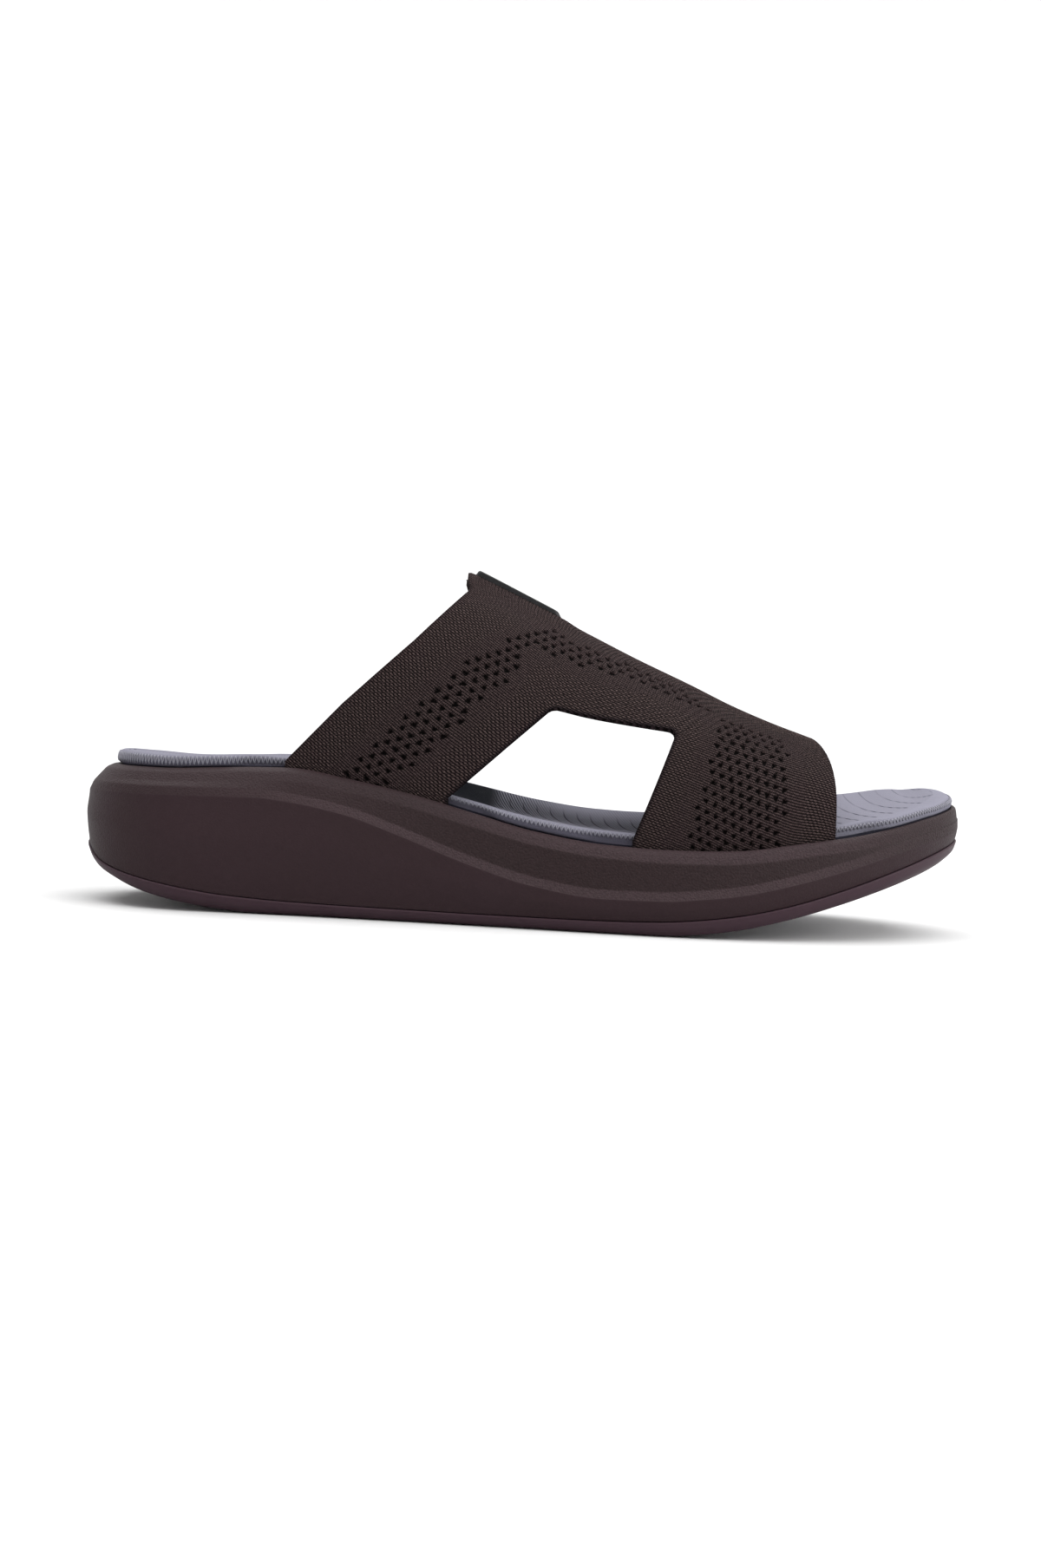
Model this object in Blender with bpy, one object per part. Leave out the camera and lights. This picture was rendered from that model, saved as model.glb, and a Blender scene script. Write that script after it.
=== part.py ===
"""A right-foot slip-on sandal: outsole, midsole, insole, one-piece knitted upper and a plain badge.

Lengths below are in millimetres and become metres when a mesh is made. x runs from the heel end of the
footbed's edge to the toe, y to the medial side and z up from the ground. The last lines move the origin to
the middle of the sandal's base.
"""

import math

import bmesh
import bpy
import numpy as np

MM = 0.001

# --- driving sizes -------------------------------------------------------------------------------------
LAST_LENGTH = 280.0  # footbed edge, heel to toe
HEEL_ROUND = 34.0  # length of the round at the heel
TOE_ROUND = 74.0  # length of the elliptic toe
STATIONS = 40  # steps from heel to toe along each side
CHORD_CELLS = 8  # steps across a filled loop

GAP = 0.3  # between any two pieces
CHORD_PLAY = 0.2  # added where a wall's straight chords pass another's
LIP = 1.5  # thickness of the midsole's raised rim
WELL_DEPTH = 2.2  # the insole's seat below the rim
WALL = 2.0  # knitted wall of the upper
OUTSOLE_PROUD = 0.5  # outsole's side stands out from the midsole's
LEDGE_RISE = 2.8  # height of the step between the lower and upper side panels
SHOULDER = 4.2  # height of the chamfer under the rim
RIM_ROUND = (0.52, 0.3)  # the rim's rounding: share of the shoulder's reach, and of its height
LEDGE_BANK = 0.5  # share of the rim's medial rise that the ledge follows
SWELL = ((0.0, 0.0), (0.3, 0.62), (0.62, 1.0))  # lower side panel: shares of its height and of its belly
SEAT_EDGE = (0.8, 0.9)  # the insole's lower edge is drawn in and up by these
PAD_EDGE = ((0.2, 0.45), (-0.4, 0.82), (-2.2, 1.0))  # its rolled edge: reach, and share of the pad's height
OUTSOLE_TURN = (0.75, 0.4)  # the outsole's rounded side: shares of its reach and of its height
OUTSOLE_CHAMFER = 0.4
ARCH_TUCK = 5.0  # the medial waist is drawn in underfoot
TUCK_AT_PARTING = 0.6  # share of that tuck at the top of the outsole
PINCH_RUN = 10.0  # the insole's edge steps in before and after each strap over this length

GROOVE_PITCH = 13.0
GROOVE_WIDTH = 3.0
GROOVE_DEPTH = 1.5
GROOVE_BOW = 5.0  # each groove bows towards the toe
GROOVE_MARGIN = 7.0  # solid border round the tread
GROOVE_FIRST = 26.0
GROOVE_LAST = 262.0

TAB_X = 114.0  # rear end of the tab at the middle of the collar
TAB_HALF = 13.5
TAB_FADE = (4.0, 1.6)  # the tab's roll dies away over these, before and past its half width
TAB_RAISE = 1.3  # thickness added at the tab's rolled end
BADGE_START = 118.4
BADGE_END = 145.0
BADGE_HALF = 9.0
BADGE_THICK = 1.2
BADGE_BEVEL = 0.5
BADGE_WEDGE = 1.4  # the badge is this much thicker at its upper end
BADGE_SLANT = 1.2  # the badge's ends lean back by this much
BADGE_SEAT = 1.3  # the stiff badge holds the knit under it this much flatter


class Table:
    """Rows of named columns against x, read between the rows with a curve that never overshoots them."""

    def __init__(self, columns, rows):
        data = np.array(rows, float)
        self.x = data[:, 0]
        self.rows = {name: data[:, i] for i, name in enumerate(columns.split()) if i}
        self.slopes = {name: self._slopes(y) for name, y in self.rows.items()}

    def _slopes(self, y):
        rise = np.diff(y) / np.diff(self.x)
        slopes = np.zeros(len(y))
        slopes[0], slopes[-1] = rise[0], rise[-1]
        same_way = rise[:-1] * rise[1:] > 0
        total = np.where(same_way, rise[:-1] + rise[1:], 1.0)
        slopes[1:-1] = np.where(same_way, 2 * rise[:-1] * rise[1:] / total, 0.0)
        return slopes

    def __call__(self, name, x):
        x = np.clip(x, self.x[0], self.x[-1])
        i = np.clip(np.searchsorted(self.x, x) - 1, 0, len(self.x) - 2)
        width = self.x[i + 1] - self.x[i]
        t = (x - self.x[i]) / width
        y, slope = self.rows[name], self.slopes[name]
        return (
            (1 + 2 * t) * (1 - t) ** 2 * y[i]
            + t * (1 - t) ** 2 * width * slope[i]
            + t * t * (3 - 2 * t) * y[i + 1]
            - t * t * (1 - t) * width * slope[i + 1]
        )


# Plan of the footbed's edge. centre: middle line, medial +. half: half width before the ends are rounded.
PLAN = Table(
    "x centre half",
    [
        (0, 0.0, 34.0),
        (34, 0.0, 34.0),
        (60, -0.3, 34.6),
        (100, -2.5, 35.8),
        (130, -4.0, 38.4),
        (160, -3.2, 43.4),
        (190, -0.8, 48.2),
        (206, 0.6, 49.0),
        (240, 3.6, 49.0),
        (280, 6.2, 49.0),
    ],
)

# Heights along the side. ground: underside. parting: top of the outsole's side. ledge: step between the two
# side panels. rim: top of the midsole, lateral side. bank: how much higher the rim is on the medial side.
# pad: how far the insole stands above the rim. dish: how far the footbed's middle lies below its edges.
SIDE = Table(
    "x ground parting ledge rim bank pad dish",
    [
        (0, 13.2, 19.0, 35.6, 44.4, 0.0, 4.2, 3.2),
        (7, 8.8, 13.0, 35.7, 44.2, -0.3, 4.1, 3.2),
        (20, 4.3, 9.0, 35.8, 44.2, -0.7, 3.7, 3.2),
        (40, 0.8, 5.6, 36.2, 45.2, -0.7, 3.4, 3.2),
        (52, 0.0, 4.7, 36.3, 45.8, -0.4, 3.2, 3.0),
        (62, 0.0, 4.2, 35.5, 46.0, 0.5, 3.0, 2.6),
        (80, 0.0, 3.8, 32.4, 43.4, 2.0, 2.8, 2.0),
        (100, 0.0, 3.6, 26.0, 39.6, 3.0, 2.8, 1.6),
        (120, 0.0, 3.5, 19.0, 34.6, 3.4, 3.2, 1.4),
        (140, 0.0, 3.5, 13.4, 29.8, 3.5, 3.8, 1.4),
        (162, 0.0, 3.7, 10.6, 26.9, 3.6, 4.0, 1.6),
        (180, 0.0, 4.3, 10.8, 26.3, 4.0, 3.8, 1.6),
        (190, 0.7, 5.2, 11.7, 26.4, 4.3, 3.6, 1.6),
        (202, 2.4, 6.9, 13.3, 26.9, 4.6, 3.5, 1.5),
        (217, 5.9, 10.3, 16.8, 28.9, 5.0, 3.4, 1.4),
        (235, 11.2, 15.9, 22.0, 32.4, 5.4, 3.3, 1.2),
        (255, 17.8, 23.0, 28.4, 36.5, 5.4, 3.3, 1.0),
        (270, 22.8, 28.2, 32.4, 39.6, 5.0, 3.4, 1.0),
        (280, 26.6, 31.6, 34.9, 40.4, 4.4, 3.4, 1.0),
    ],
)

# How far the side stands out from the footbed's edge at each height.
FLARE = Table(
    "x ground parting belly ledge panel shoulder",
    [
        (0, 3.6, 7.4, 8.6, 8.0, 6.8, 5.3),
        (34, 3.4, 6.2, 8.2, 7.2, 6.0, 4.2),
        (70, 3.1, 5.3, 7.2, 6.8, 5.4, 3.9),
        (100, 2.9, 5.0, 6.7, 6.5, 5.0, 3.6),
        (140, 2.6, 4.6, 6.2, 6.2, 4.6, 3.4),
        (190, 2.8, 4.4, 5.6, 5.8, 4.2, 3.2),
        (250, 0.8, 2.8, 3.5, 3.8, 2.7, 2.3),
        (270, -1.2, 1.1, 1.8, 2.1, 1.6, 1.4),
        (280, -2.1, 0.4, 0.9, 1.1, 1.0, 0.8),
    ],
)

# The upper over each station. ridge: height of its top line. lean: how far that line lies medial of the
# middle. round: exponent of the section, from the rounder instep to the flatter ball.
UPPER = Table(
    "x ridge lean round",
    [
        (50, 138.0, 6.0, 2.2),
        (115, 111.5, 5.5, 2.2),
        (146, 97.9, 5.0, 2.25),
        (171, 86.3, 4.0, 2.4),
        (189, 78.6, 3.4, 2.5),
        (203, 72.3, 3.0, 2.6),
        (217, 67.0, 2.6, 2.65),
        (228, 63.4, 2.4, 2.7),
        (240, 59.4, 2.2, 2.7),
    ],
)

LATERAL, MEDIAL = -1, 1
# Borders of the straps seen from the side, each a line through points (x, z) from the footbed up. The window
# lines end at the window's upper corner, and run from there over the ridge at WINDOW_RIDGE.
COLLAR = ((59.0, 47.2), (77.0, 67.0), (98.4, 88.0), (121.0, 112.3))
WINDOW_REAR = {LATERAL: ((110.2, 37.4), (143.3, 68.7)), MEDIAL: ((107.6, 40.5), (144.5, 72.3))}
WINDOW_FRONT = {LATERAL: ((169.7, 28.5), (182.6, 63.3)), MEDIAL: ((180.5, 31.0), (193.2, 68.2))}
WINDOW_RIDGE = (164.0, 190.0)
# Toe edge in plan: x at the lateral foot, on the ridge and at the medial foot, and between which shares of
# the way down from the ridge it moves forward.
TOE_EDGE = (233.3, 229.5, 239.0)
TOE_SWING = (0.1, 0.85)


# --- the last ------------------------------------------------------------------------------------------
def half_width(x):
    heel = np.sqrt(np.clip(1 - ((HEEL_ROUND - x) / HEEL_ROUND) ** 2, 0, 1))
    toe = np.sqrt(np.clip(1 - ((x - LAST_LENGTH + TOE_ROUND) / TOE_ROUND) ** 2, 0, 1))
    rounded = np.where(x < HEEL_ROUND, heel, np.where(x > LAST_LENGTH - TOE_ROUND, toe, 1))
    return PLAN("half", x) * rounded


class Outline:
    """The footbed's edge as a loop of stations: heel end, lateral side, toe end, medial side."""

    def __init__(self, steps):
        turn = np.arange(2 * steps) * math.pi / steps
        self.steps = steps
        self.x = LAST_LENGTH * (1 - np.cos(turn)) / 2
        self.side = np.where(np.arange(2 * steps) <= steps, LATERAL, MEDIAL)
        self.y = PLAN("centre", self.x) + self.side * half_width(self.x)
        along_x = np.roll(self.x, -1) - np.roll(self.x, 1)
        along_y = np.roll(self.y, -1) - np.roll(self.y, 1)
        length = np.hypot(along_x, along_y)
        self.nx, self.ny = along_y / length, -along_x / length

    def offset(self, out):
        return self.x + self.nx * out, self.y + self.ny * out

    def loop(self, out, z):
        x, y = self.offset(out)
        return np.column_stack([x, y, np.broadcast_to(z, x.shape)])

    @property
    def medial_share(self):
        """0 on the lateral side, 1 on the medial side, turning smoothly round the ends."""
        return (1 + self.ny) / 2


RING = Outline(STATIONS)
FINE_RING = Outline(240)


def read_edge(values, x, side, out):
    """A value known round the footbed's edge, where that edge, moved out by a distance, passes x."""
    order = slice(0, FINE_RING.steps + 1) if side == LATERAL else slice(None, FINE_RING.steps - 1, -1)
    return float(np.interp(x, FINE_RING.offset(out)[0][order], values[order]))


def edge_y(x, side, out):
    return read_edge(FINE_RING.offset(out)[1], x, side, out)


def rim_z(x, medial_share):
    return SIDE("rim", x) + SIDE("bank", x) * medial_share


def smoothstep(value, low, high):
    t = np.clip((value - low) / (high - low), 0, 1)
    return t * t * (3 - 2 * t)


# --- meshes --------------------------------------------------------------------------------------------
def new_object(name, points, faces, material):
    """One closed piece, its faces turned outwards. Points that no face uses are left out."""
    used = sorted({i for face in faces for i in face})
    number = {old: new for new, old in enumerate(used)}
    mesh = bpy.data.meshes.new(name)
    vertices = [tuple(float(v) * MM for v in points[i]) for i in used]
    mesh.from_pydata(vertices, [], [tuple(number[i] for i in face) for face in faces])
    shape = bmesh.new()
    shape.from_mesh(mesh)
    bmesh.ops.recalc_face_normals(shape, faces=shape.faces)
    shape.to_mesh(mesh)
    shape.free()
    mesh.shade_smooth()
    mesh.set_sharp_from_angle(angle=math.radians(40))
    mesh.materials.append(material)
    piece = bpy.data.objects.new(name, mesh)
    bpy.context.scene.collection.objects.link(piece)
    return piece


def new_material(name, colour, roughness, metallic=0.0):
    material = bpy.data.materials.new(name)
    material.use_nodes = True
    shader = material.node_tree.nodes["Principled BSDF"]
    shader.inputs["Base Color"].default_value = (*colour, 1.0)
    shader.inputs["Roughness"].default_value = roughness
    shader.inputs["Metallic"].default_value = metallic
    return material


class Loft:
    """A closed body of loops stacked along the outline, filled across at its first and last loop."""

    def __init__(self):
        self.points, self.faces, self.loops = [], [], []

    def add_points(self, points):
        start = len(self.points)
        self.points.extend(points)
        return list(range(start, len(self.points)))

    def add_loop(self, out, z):
        self.loops.append(self.add_points(RING.loop(out, z)))

    def skin(self):
        for low, high in zip(self.loops, self.loops[1:]):
            for i in range(len(low)):
                k = (i + 1) % len(low)
                self.faces.append((low[i], low[k], high[k], high[i]))

    def fill(self, loop, sag):
        """Rows of points from side to side of a loop. sag(x) lowers the middle of each row."""
        count = len(loop)
        rows = [[loop[0]] * (CHORD_CELLS + 1)]
        for j in range(1, STATIONS):
            start, end = self.points[loop[j]], self.points[loop[count - j]]
            across = np.linspace(0, 1, CHORD_CELLS + 1)[1:-1]
            inner = [start + (end - start) * v for v in across]
            for point, v in zip(inner, across):
                point[2] -= float(sag(RING.x[j])) * (1 - (2 * v - 1) ** 2)
            rows.append([loop[j], *self.add_points(inner), loop[count - j]])
        rows.append([loop[STATIONS]] * (CHORD_CELLS + 1))
        for row, after in zip(rows, rows[1:]):
            for k in range(CHORD_CELLS):
                corners = [row[k], row[k + 1], after[k + 1], after[k]]
                self.faces.append(tuple(dict.fromkeys(corners)))

    def build(self, name, material, bottom_sag, top_sag):
        self.skin()
        self.fill(self.loops[0], bottom_sag)
        self.fill(self.loops[-1], top_sag)
        return new_object(name, self.points, self.faces, material)


def flat(x):
    return 0.0


def dish(x):
    """The footbed's hollow, less near the ends so that it meets the edge there."""
    return SIDE("dish", x) * smoothstep(x, 0, 30) * smoothstep(LAST_LENGTH - x, 0, 30)


def arch_tuck(x, medial_share):
    """How far the underfoot outline is drawn in along the medial waist."""
    return ARCH_TUCK * smoothstep(x, 50, 110) * smoothstep(-x, -185, -125) * medial_share


# --- outsole -------------------------------------------------------------------------------------------
def outsole(material):
    x = RING.x
    ground, parting = SIDE("ground", x), SIDE("parting", x)
    tuck = arch_tuck(x, RING.medial_share)
    low, high = FLARE("ground", x) - tuck, FLARE("parting", x) + OUTSOLE_PROUD - TUCK_AT_PARTING * tuck
    loft = Loft()
    loft.add_loop(low, ground)
    reach, height = OUTSOLE_TURN
    loft.add_loop(low + reach * (high - low), ground + height * (parting - ground))
    loft.add_loop(high, parting - GAP)
    loft.add_loop(high - OUTSOLE_CHAMFER, parting)
    piece = loft.build("outsole", material, flat, flat)
    cutter = tread_grooves()
    cut = piece.modifiers.new("tread", "BOOLEAN")
    cut.operation = "DIFFERENCE"
    cut.solver = "EXACT"
    cut.object = cutter
    return piece


def tread_grooves():
    """Bowed channels across the underside, inside a solid border."""
    points, faces = [], []
    for middle in np.arange(GROOVE_FIRST, GROOVE_LAST, GROOVE_PITCH):
        along = slice_of_groove(middle)
        for x, y in along:
            ground = float(SIDE("ground", x))
            for dx, dz in ((-0.5, -4.0), (0.5, -4.0), (0.5, GROOVE_DEPTH), (-0.5, GROOVE_DEPTH)):
                points.append((x + dx * GROOVE_WIDTH, y, ground + dz))
        first = len(points) - 4 * len(along)
        for k in range(len(along) - 1):
            a, b = first + 4 * k, first + 4 * k + 4
            faces += [(a + i, a + (i + 1) % 4, b + (i + 1) % 4, b + i) for i in range(4)]
        faces += [(first, first + 1, first + 2, first + 3), tuple(len(points) - 4 + i for i in range(4))]
    cutter = new_object("tread_grooves", points, faces, new_material("cutter", (0.5, 0.5, 0.5), 0.5))
    cutter.hide_render = True
    cutter.display_type = "WIRE"
    return cutter


def slice_of_groove(middle, pieces=8):
    """Centre line of one groove, from border to border."""
    inset = float(FLARE("ground", middle)) - GROOVE_MARGIN
    start, end = edge_y(middle, LATERAL, inset), edge_y(middle, MEDIAL, inset - arch_tuck(middle, 1.0))
    line = []
    for v in np.linspace(0, 1, pieces + 1):
        bow = GROOVE_BOW * math.sin(math.pi * v)
        line.append((middle - GROOVE_BOW / 2 + bow, start + (end - start) * v))
    return line


# --- midsole -------------------------------------------------------------------------------------------
def midsole(material):
    x, share = RING.x, RING.medial_share
    rim = rim_z(x, share)
    ledge_z = SIDE("ledge", x) + LEDGE_BANK * SIDE("bank", x) * share
    parting = SIDE("parting", x) + GAP
    tuck = arch_tuck(x, share)
    out = {name: FLARE(name, x) for name in ("parting", "belly", "ledge", "panel", "shoulder")}

    loft = Loft()
    for rise, swell in SWELL:
        reach = out["parting"] + swell * (out["belly"] - out["parting"])
        reach -= TUCK_AT_PARTING * tuck * (1 - rise)
        loft.add_loop(reach, parting + rise * (ledge_z - parting))
    loft.add_loop(out["ledge"], ledge_z)
    loft.add_loop(out["panel"], ledge_z + LEDGE_RISE)
    loft.add_loop(out["shoulder"], rim - SHOULDER)
    loft.add_loop(RIM_ROUND[0] * out["shoulder"], rim - RIM_ROUND[1] * SHOULDER)
    loft.add_loop(0.0, rim)
    loft.add_loop(-LIP, rim - 0.1)
    loft.add_loop(-LIP - 0.1, rim - WELL_DEPTH)
    return loft.build("midsole", material, flat, dish)


# --- insole --------------------------------------------------------------------------------------------
def strap_feet(x, side):
    """1 where a strap passes between the insole and the rim, 0 elsewhere."""
    rear = (COLLAR[0][0], WINDOW_REAR[side][0][0])
    front = (WINDOW_FRONT[side][0][0], TOE_EDGE[0 if side == LATERAL else 2])
    share = 0.0
    for start, end in (rear, front):
        before = smoothstep(x, start - 2 * PINCH_RUN, start - PINCH_RUN)
        after = smoothstep(-x, -end - 2 * PINCH_RUN, -end - PINCH_RUN)
        share = np.maximum(share, before * after)
    return share


def insole(material):
    x, share = RING.x, RING.medial_share
    pinch = np.where(RING.side == LATERAL, strap_feet(x, LATERAL), strap_feet(x, MEDIAL))
    edge = -LIP - GAP - CHORD_PLAY - (WALL + GAP + CHORD_PLAY) * pinch
    rim = rim_z(x, share)
    seat = rim - WELL_DEPTH + GAP
    top = rim + SIDE("pad", x)
    loft = Loft()
    loft.add_loop(edge - SEAT_EDGE[0], seat)
    loft.add_loop(edge, seat + SEAT_EDGE[1])
    for reach, share_up in PAD_EDGE:
        loft.add_loop(edge + reach, rim + share_up * (top - rim))
    return loft.build("insole", material, dish, dish)


# --- upper ---------------------------------------------------------------------------------------------
class Section:
    """The upper's outer line over one station and side, from the ridge down into the midsole's well."""

    def __init__(self, x, side):
        inset = -LIP - GAP - CHORD_PLAY
        foot_y = edge_y(x, side, inset)
        middle = (edge_y(x, LATERAL, inset) + edge_y(x, MEDIAL, inset)) / 2
        rim = float(rim_z(x, read_edge(FINE_RING.medial_share, x, side, inset)))
        self.spring = rim + 2.0
        self.foot = rim - WELL_DEPTH + GAP
        top = float(UPPER("ridge", x))
        power = 2 / float(UPPER("round", x))
        angle = np.linspace(0, math.pi / 2, 49)
        rise, reach = np.cos(angle) ** power, np.sin(angle) ** power
        y = middle + (foot_y - middle) * reach + float(UPPER("lean", x)) * rise**1.5
        z = self.spring + (top - self.spring) * rise
        z += self.badge_seat(x, np.abs(y - y[0]))
        self.y, self.z = y, z
        self.arc = np.concatenate([[0], np.cumsum(np.hypot(np.diff(y), np.diff(z)))])

    @staticmethod
    def badge_seat(x, away):
        """Lift that keeps the knit nearly flat across the badge."""
        fade = BADGE_HALF
        along = smoothstep(x, BADGE_START - fade, BADGE_START)
        along = along * smoothstep(-x, -BADGE_END - fade, -BADGE_END)
        under = np.minimum(away / BADGE_HALF, 1) ** 2
        return BADGE_SEAT * along * under * (1 - smoothstep(away, BADGE_HALF, BADGE_HALF + fade))

    def at(self, share):
        """(y, z) at a share of the way down from the ridge. Past 1 the wall drops straight to its foot."""
        if share > 1:
            return float(self.y[-1]), self.spring + (share - 1) * (self.foot - self.spring)
        distance = share * self.arc[-1]
        return float(np.interp(distance, self.arc, self.y)), float(np.interp(distance, self.arc, self.z))

    def away(self, share):
        """Distance across from the ridge at a share of the way down."""
        return abs(self.at(share)[0] - float(self.y[0]))

    def share_at(self, z):
        return float(np.interp(-z, -self.z, self.arc)) / self.arc[-1]


def on_line(line, z):
    """x of a border at height z."""
    x, height = np.transpose(line)
    return float(np.interp(z, height, x))


def follow(line, side, share):
    """x where the upper, at this share down its section, meets a border drawn in side view."""
    x = line[0][0]
    for _ in range(30):
        x = 0.5 * x + 0.5 * on_line(line, Section(x, side).at(share)[1])
    return x


class Upper:
    """The knitted upper as a grid: columns from collar to toe edge, rows from foot over the ridge to foot."""

    REAR = [0.0, 0.03, 0.065, 0.2, 0.34, 0.48, 0.62, 0.76, 0.89]
    WINDOW = [0.0, 0.035, 0.07, 0.28, 0.5, 0.72, 0.93, 0.965]
    FRONT = [0.0, 0.12, 0.25, 0.38, 0.51, 0.64, 0.77, 0.89, 1.0]
    CROWN = [0.0, 0.12, 0.22, 0.31, 0.38, 0.52, 0.68, 0.84]  # ridge to window top
    FLANK = [0.0, 0.035, 0.07, 0.28, 0.5, 0.75, 1.0]  # window top to footbed
    # A rounded corner's points, as shares of the way to the second grid line on each side.
    CORNER_IN = 0.29
    CORNER_BESIDE = 0.134

    def __init__(self):
        strips = (self.REAR, self.WINDOW, self.FRONT)
        self.columns = [(strip, f) for strip, fractions in enumerate(strips) for f in fractions]
        self.rows = [(0, f) for f in self.CROWN] + [(1, f) for f in self.FLANK] + [(2, 2.0)]
        halves = {side: self.half(side) for side in (LATERAL, MEDIAL)}
        # Ridge row once, lateral rows before it, medial rows after it.
        self.grid = np.concatenate([halves[LATERAL][:, :0:-1], halves[MEDIAL]], axis=1)
        self.ridge = len(self.rows) - 1

    def half(self, side):
        corner = {
            "rear": Section(WINDOW_REAR[side][1][0], side).share_at(WINDOW_REAR[side][1][1]),
            "front": Section(WINDOW_FRONT[side][1][0], side).share_at(WINDOW_FRONT[side][1][1]),
        }
        grid = np.zeros((len(self.columns), len(self.rows), 3))
        for r, (part, f) in enumerate(self.rows):
            borders = self.borders(side, part, f, corner)
            for c, (strip, g) in enumerate(self.columns):
                x = borders[strip][0] + g * (borders[strip + 1][0] - borders[strip][0])
                share = borders[strip][1] + g * (borders[strip + 1][1] - borders[strip][1])
                y, z = Section(x, side).at(share)
                grid[c, r] = (x, y, z)
        return grid

    @staticmethod
    def borders(side, part, f, corner):
        """x and share of the section at collar, window rear, window front and toe edge, for one row."""
        if part == 0:
            rear_share, front_share = f * corner["rear"], f * corner["front"]
        elif part == 1:
            rear_share = corner["rear"] + f * (1 - corner["rear"])
            front_share = corner["front"] + f * (1 - corner["front"])
        else:
            rear_share = front_share = f
        collar = follow(COLLAR, side, rear_share)
        if part == 0 and Section(TAB_X, side).away(rear_share) < TAB_HALF:
            collar = TAB_X
        if part == 0:
            rear = WINDOW_RIDGE[0] + f * (WINDOW_REAR[side][1][0] - WINDOW_RIDGE[0])
            front = WINDOW_RIDGE[1] + f * (WINDOW_FRONT[side][1][0] - WINDOW_RIDGE[1])
        else:
            rear = follow(WINDOW_REAR[side], side, min(rear_share, 1))
            front = follow(WINDOW_FRONT[side], side, min(front_share, 1))
        foot = TOE_EDGE[0] if side == LATERAL else TOE_EDGE[2]
        toe = TOE_EDGE[1] + (foot - TOE_EDGE[1]) * smoothstep(front_share, *TOE_SWING)
        return [(collar, rear_share), (rear, rear_share), (front, front_share), (toe, front_share)]

    def normals(self):
        along = np.gradient(self.grid, axis=0)
        across = np.gradient(self.grid, axis=1)
        normal = np.cross(along, across)
        return normal / np.linalg.norm(normal, axis=2, keepdims=True)

    def in_window(self, c, r):
        low, high = len(self.REAR), len(self.REAR) + len(self.WINDOW)
        return low <= c < high and abs(r + 0.5 - self.ridge) > len(self.CROWN)

    def round_windows(self, grid):
        """Moves the points at each window's two upper corners on to an arc."""
        first, last = len(self.REAR), len(self.REAR) + len(self.WINDOW)
        top = len(self.CROWN)
        for way in (LATERAL, MEDIAL):
            for column, step in ((first, 1), (last, -1)):
                at = {
                    (i, k): grid[column + step * i, self.ridge + way * (top + k)].copy()
                    for i, k in ((0, 0), (1, 0), (2, 0), (0, 1), (0, 2))
                }
                along, down = at[2, 0] - at[0, 0], at[0, 2] - at[0, 0]
                row = self.ridge + way * top
                grid[column, row] += self.CORNER_IN * (along + down)
                grid[column + step, row] += self.CORNER_BESIDE * down
                grid[column, row + way] += self.CORNER_BESIDE * along

    def raise_tab(self, grid, normal):
        """The collar's middle ends in a raised, rolled edge."""
        for c, lift in ((0, 0.6), (1, 1.0)):
            away = abs(grid[c, :, 1] - grid[c, self.ridge, 1])
            near = 1 - smoothstep(away, TAB_HALF - TAB_FADE[0], TAB_HALF + TAB_FADE[1])
            grid[c] += (near * lift * TAB_RAISE)[:, None] * normal[c]

    def build(self, material):
        outer, normal = self.grid.copy(), self.normals()
        normal *= np.sign(normal[0, self.ridge, 2])
        inner = outer - WALL * normal
        for sheet in (outer, inner):
            self.round_windows(sheet)
        self.raise_tab(outer, normal)
        columns, rows = outer.shape[:2]
        points = np.concatenate([outer.reshape(-1, 3), inner.reshape(-1, 3)])
        layer = columns * rows
        faces, edges = [], {}
        for c in range(columns - 1):
            for r in range(rows - 1):
                if self.in_window(c, r):
                    continue
                a, b = c * rows + r, (c + 1) * rows + r
                quad = (a, b, b + 1, a + 1)
                faces += [quad, tuple(i + layer for i in reversed(quad))]
                for i in range(4):
                    pair = (quad[i], quad[(i + 1) % 4])
                    edges[frozenset(pair)] = None if frozenset(pair) in edges else pair
        faces += [(i, k, k + layer, i + layer) for i, k in filter(None, edges.values())]
        return new_object("upper", points, faces, material)


# --- badge ---------------------------------------------------------------------------------------------
def badge(material):
    """A plain plate bent to the ridge, its ends slanted."""
    points, faces = [], []
    along = np.linspace(0, 1, 9)
    across = np.linspace(-1, 1, 7)
    length = BADGE_END - BADGE_START
    slope = float(UPPER("ridge", BADGE_START) - UPPER("ridge", BADGE_END)) / length
    square = math.hypot(1, slope)  # height that one millimetre of thickness takes on the slope
    layers = (
        (GAP, 0.0, 0.0, 0.0),
        (GAP + BADGE_THICK - BADGE_BEVEL, BADGE_WEDGE, 0.0, 0.0),
        (GAP + BADGE_THICK, BADGE_WEDGE, BADGE_BEVEL, BADGE_SLANT),
    )
    for lift, wedge, inset, slant in layers:
        for g in along:
            x = BADGE_START + inset + g * (length - 2 * inset) - slant * (1 - g)
            for v in across:
                side = LATERAL if v < 0 else MEDIAL
                section = Section(x, side)
                y = section.y[0] + v * (BADGE_HALF - inset)
                z = float(np.interp(side * y, side * section.y, section.z))
                points.append((x, y, z + (lift + wedge * (1 - g)) * square))
    rows, count = len(across), len(along) * len(across)
    rim = list(range(rows))
    rim += [(c + 1) * rows + rows - 1 for c in range(len(along) - 1)]
    rim += [count - 2 - r for r in range(rows - 1)]
    rim += [(len(along) - 2 - c) * rows for c in range(len(along) - 2)]
    for layer in range(2):
        base = layer * count
        for i, k in zip(rim, rim[1:] + rim[:1]):
            faces.append((base + i, base + k, base + count + k, base + count + i))
    for base in (0, 2 * count):
        for c in range(len(along) - 1):
            for r in range(rows - 1):
                a = base + c * rows + r
                faces.append((a, a + rows, a + rows + 1, a + 1))
    return new_object("badge", points, faces, material)


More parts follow.
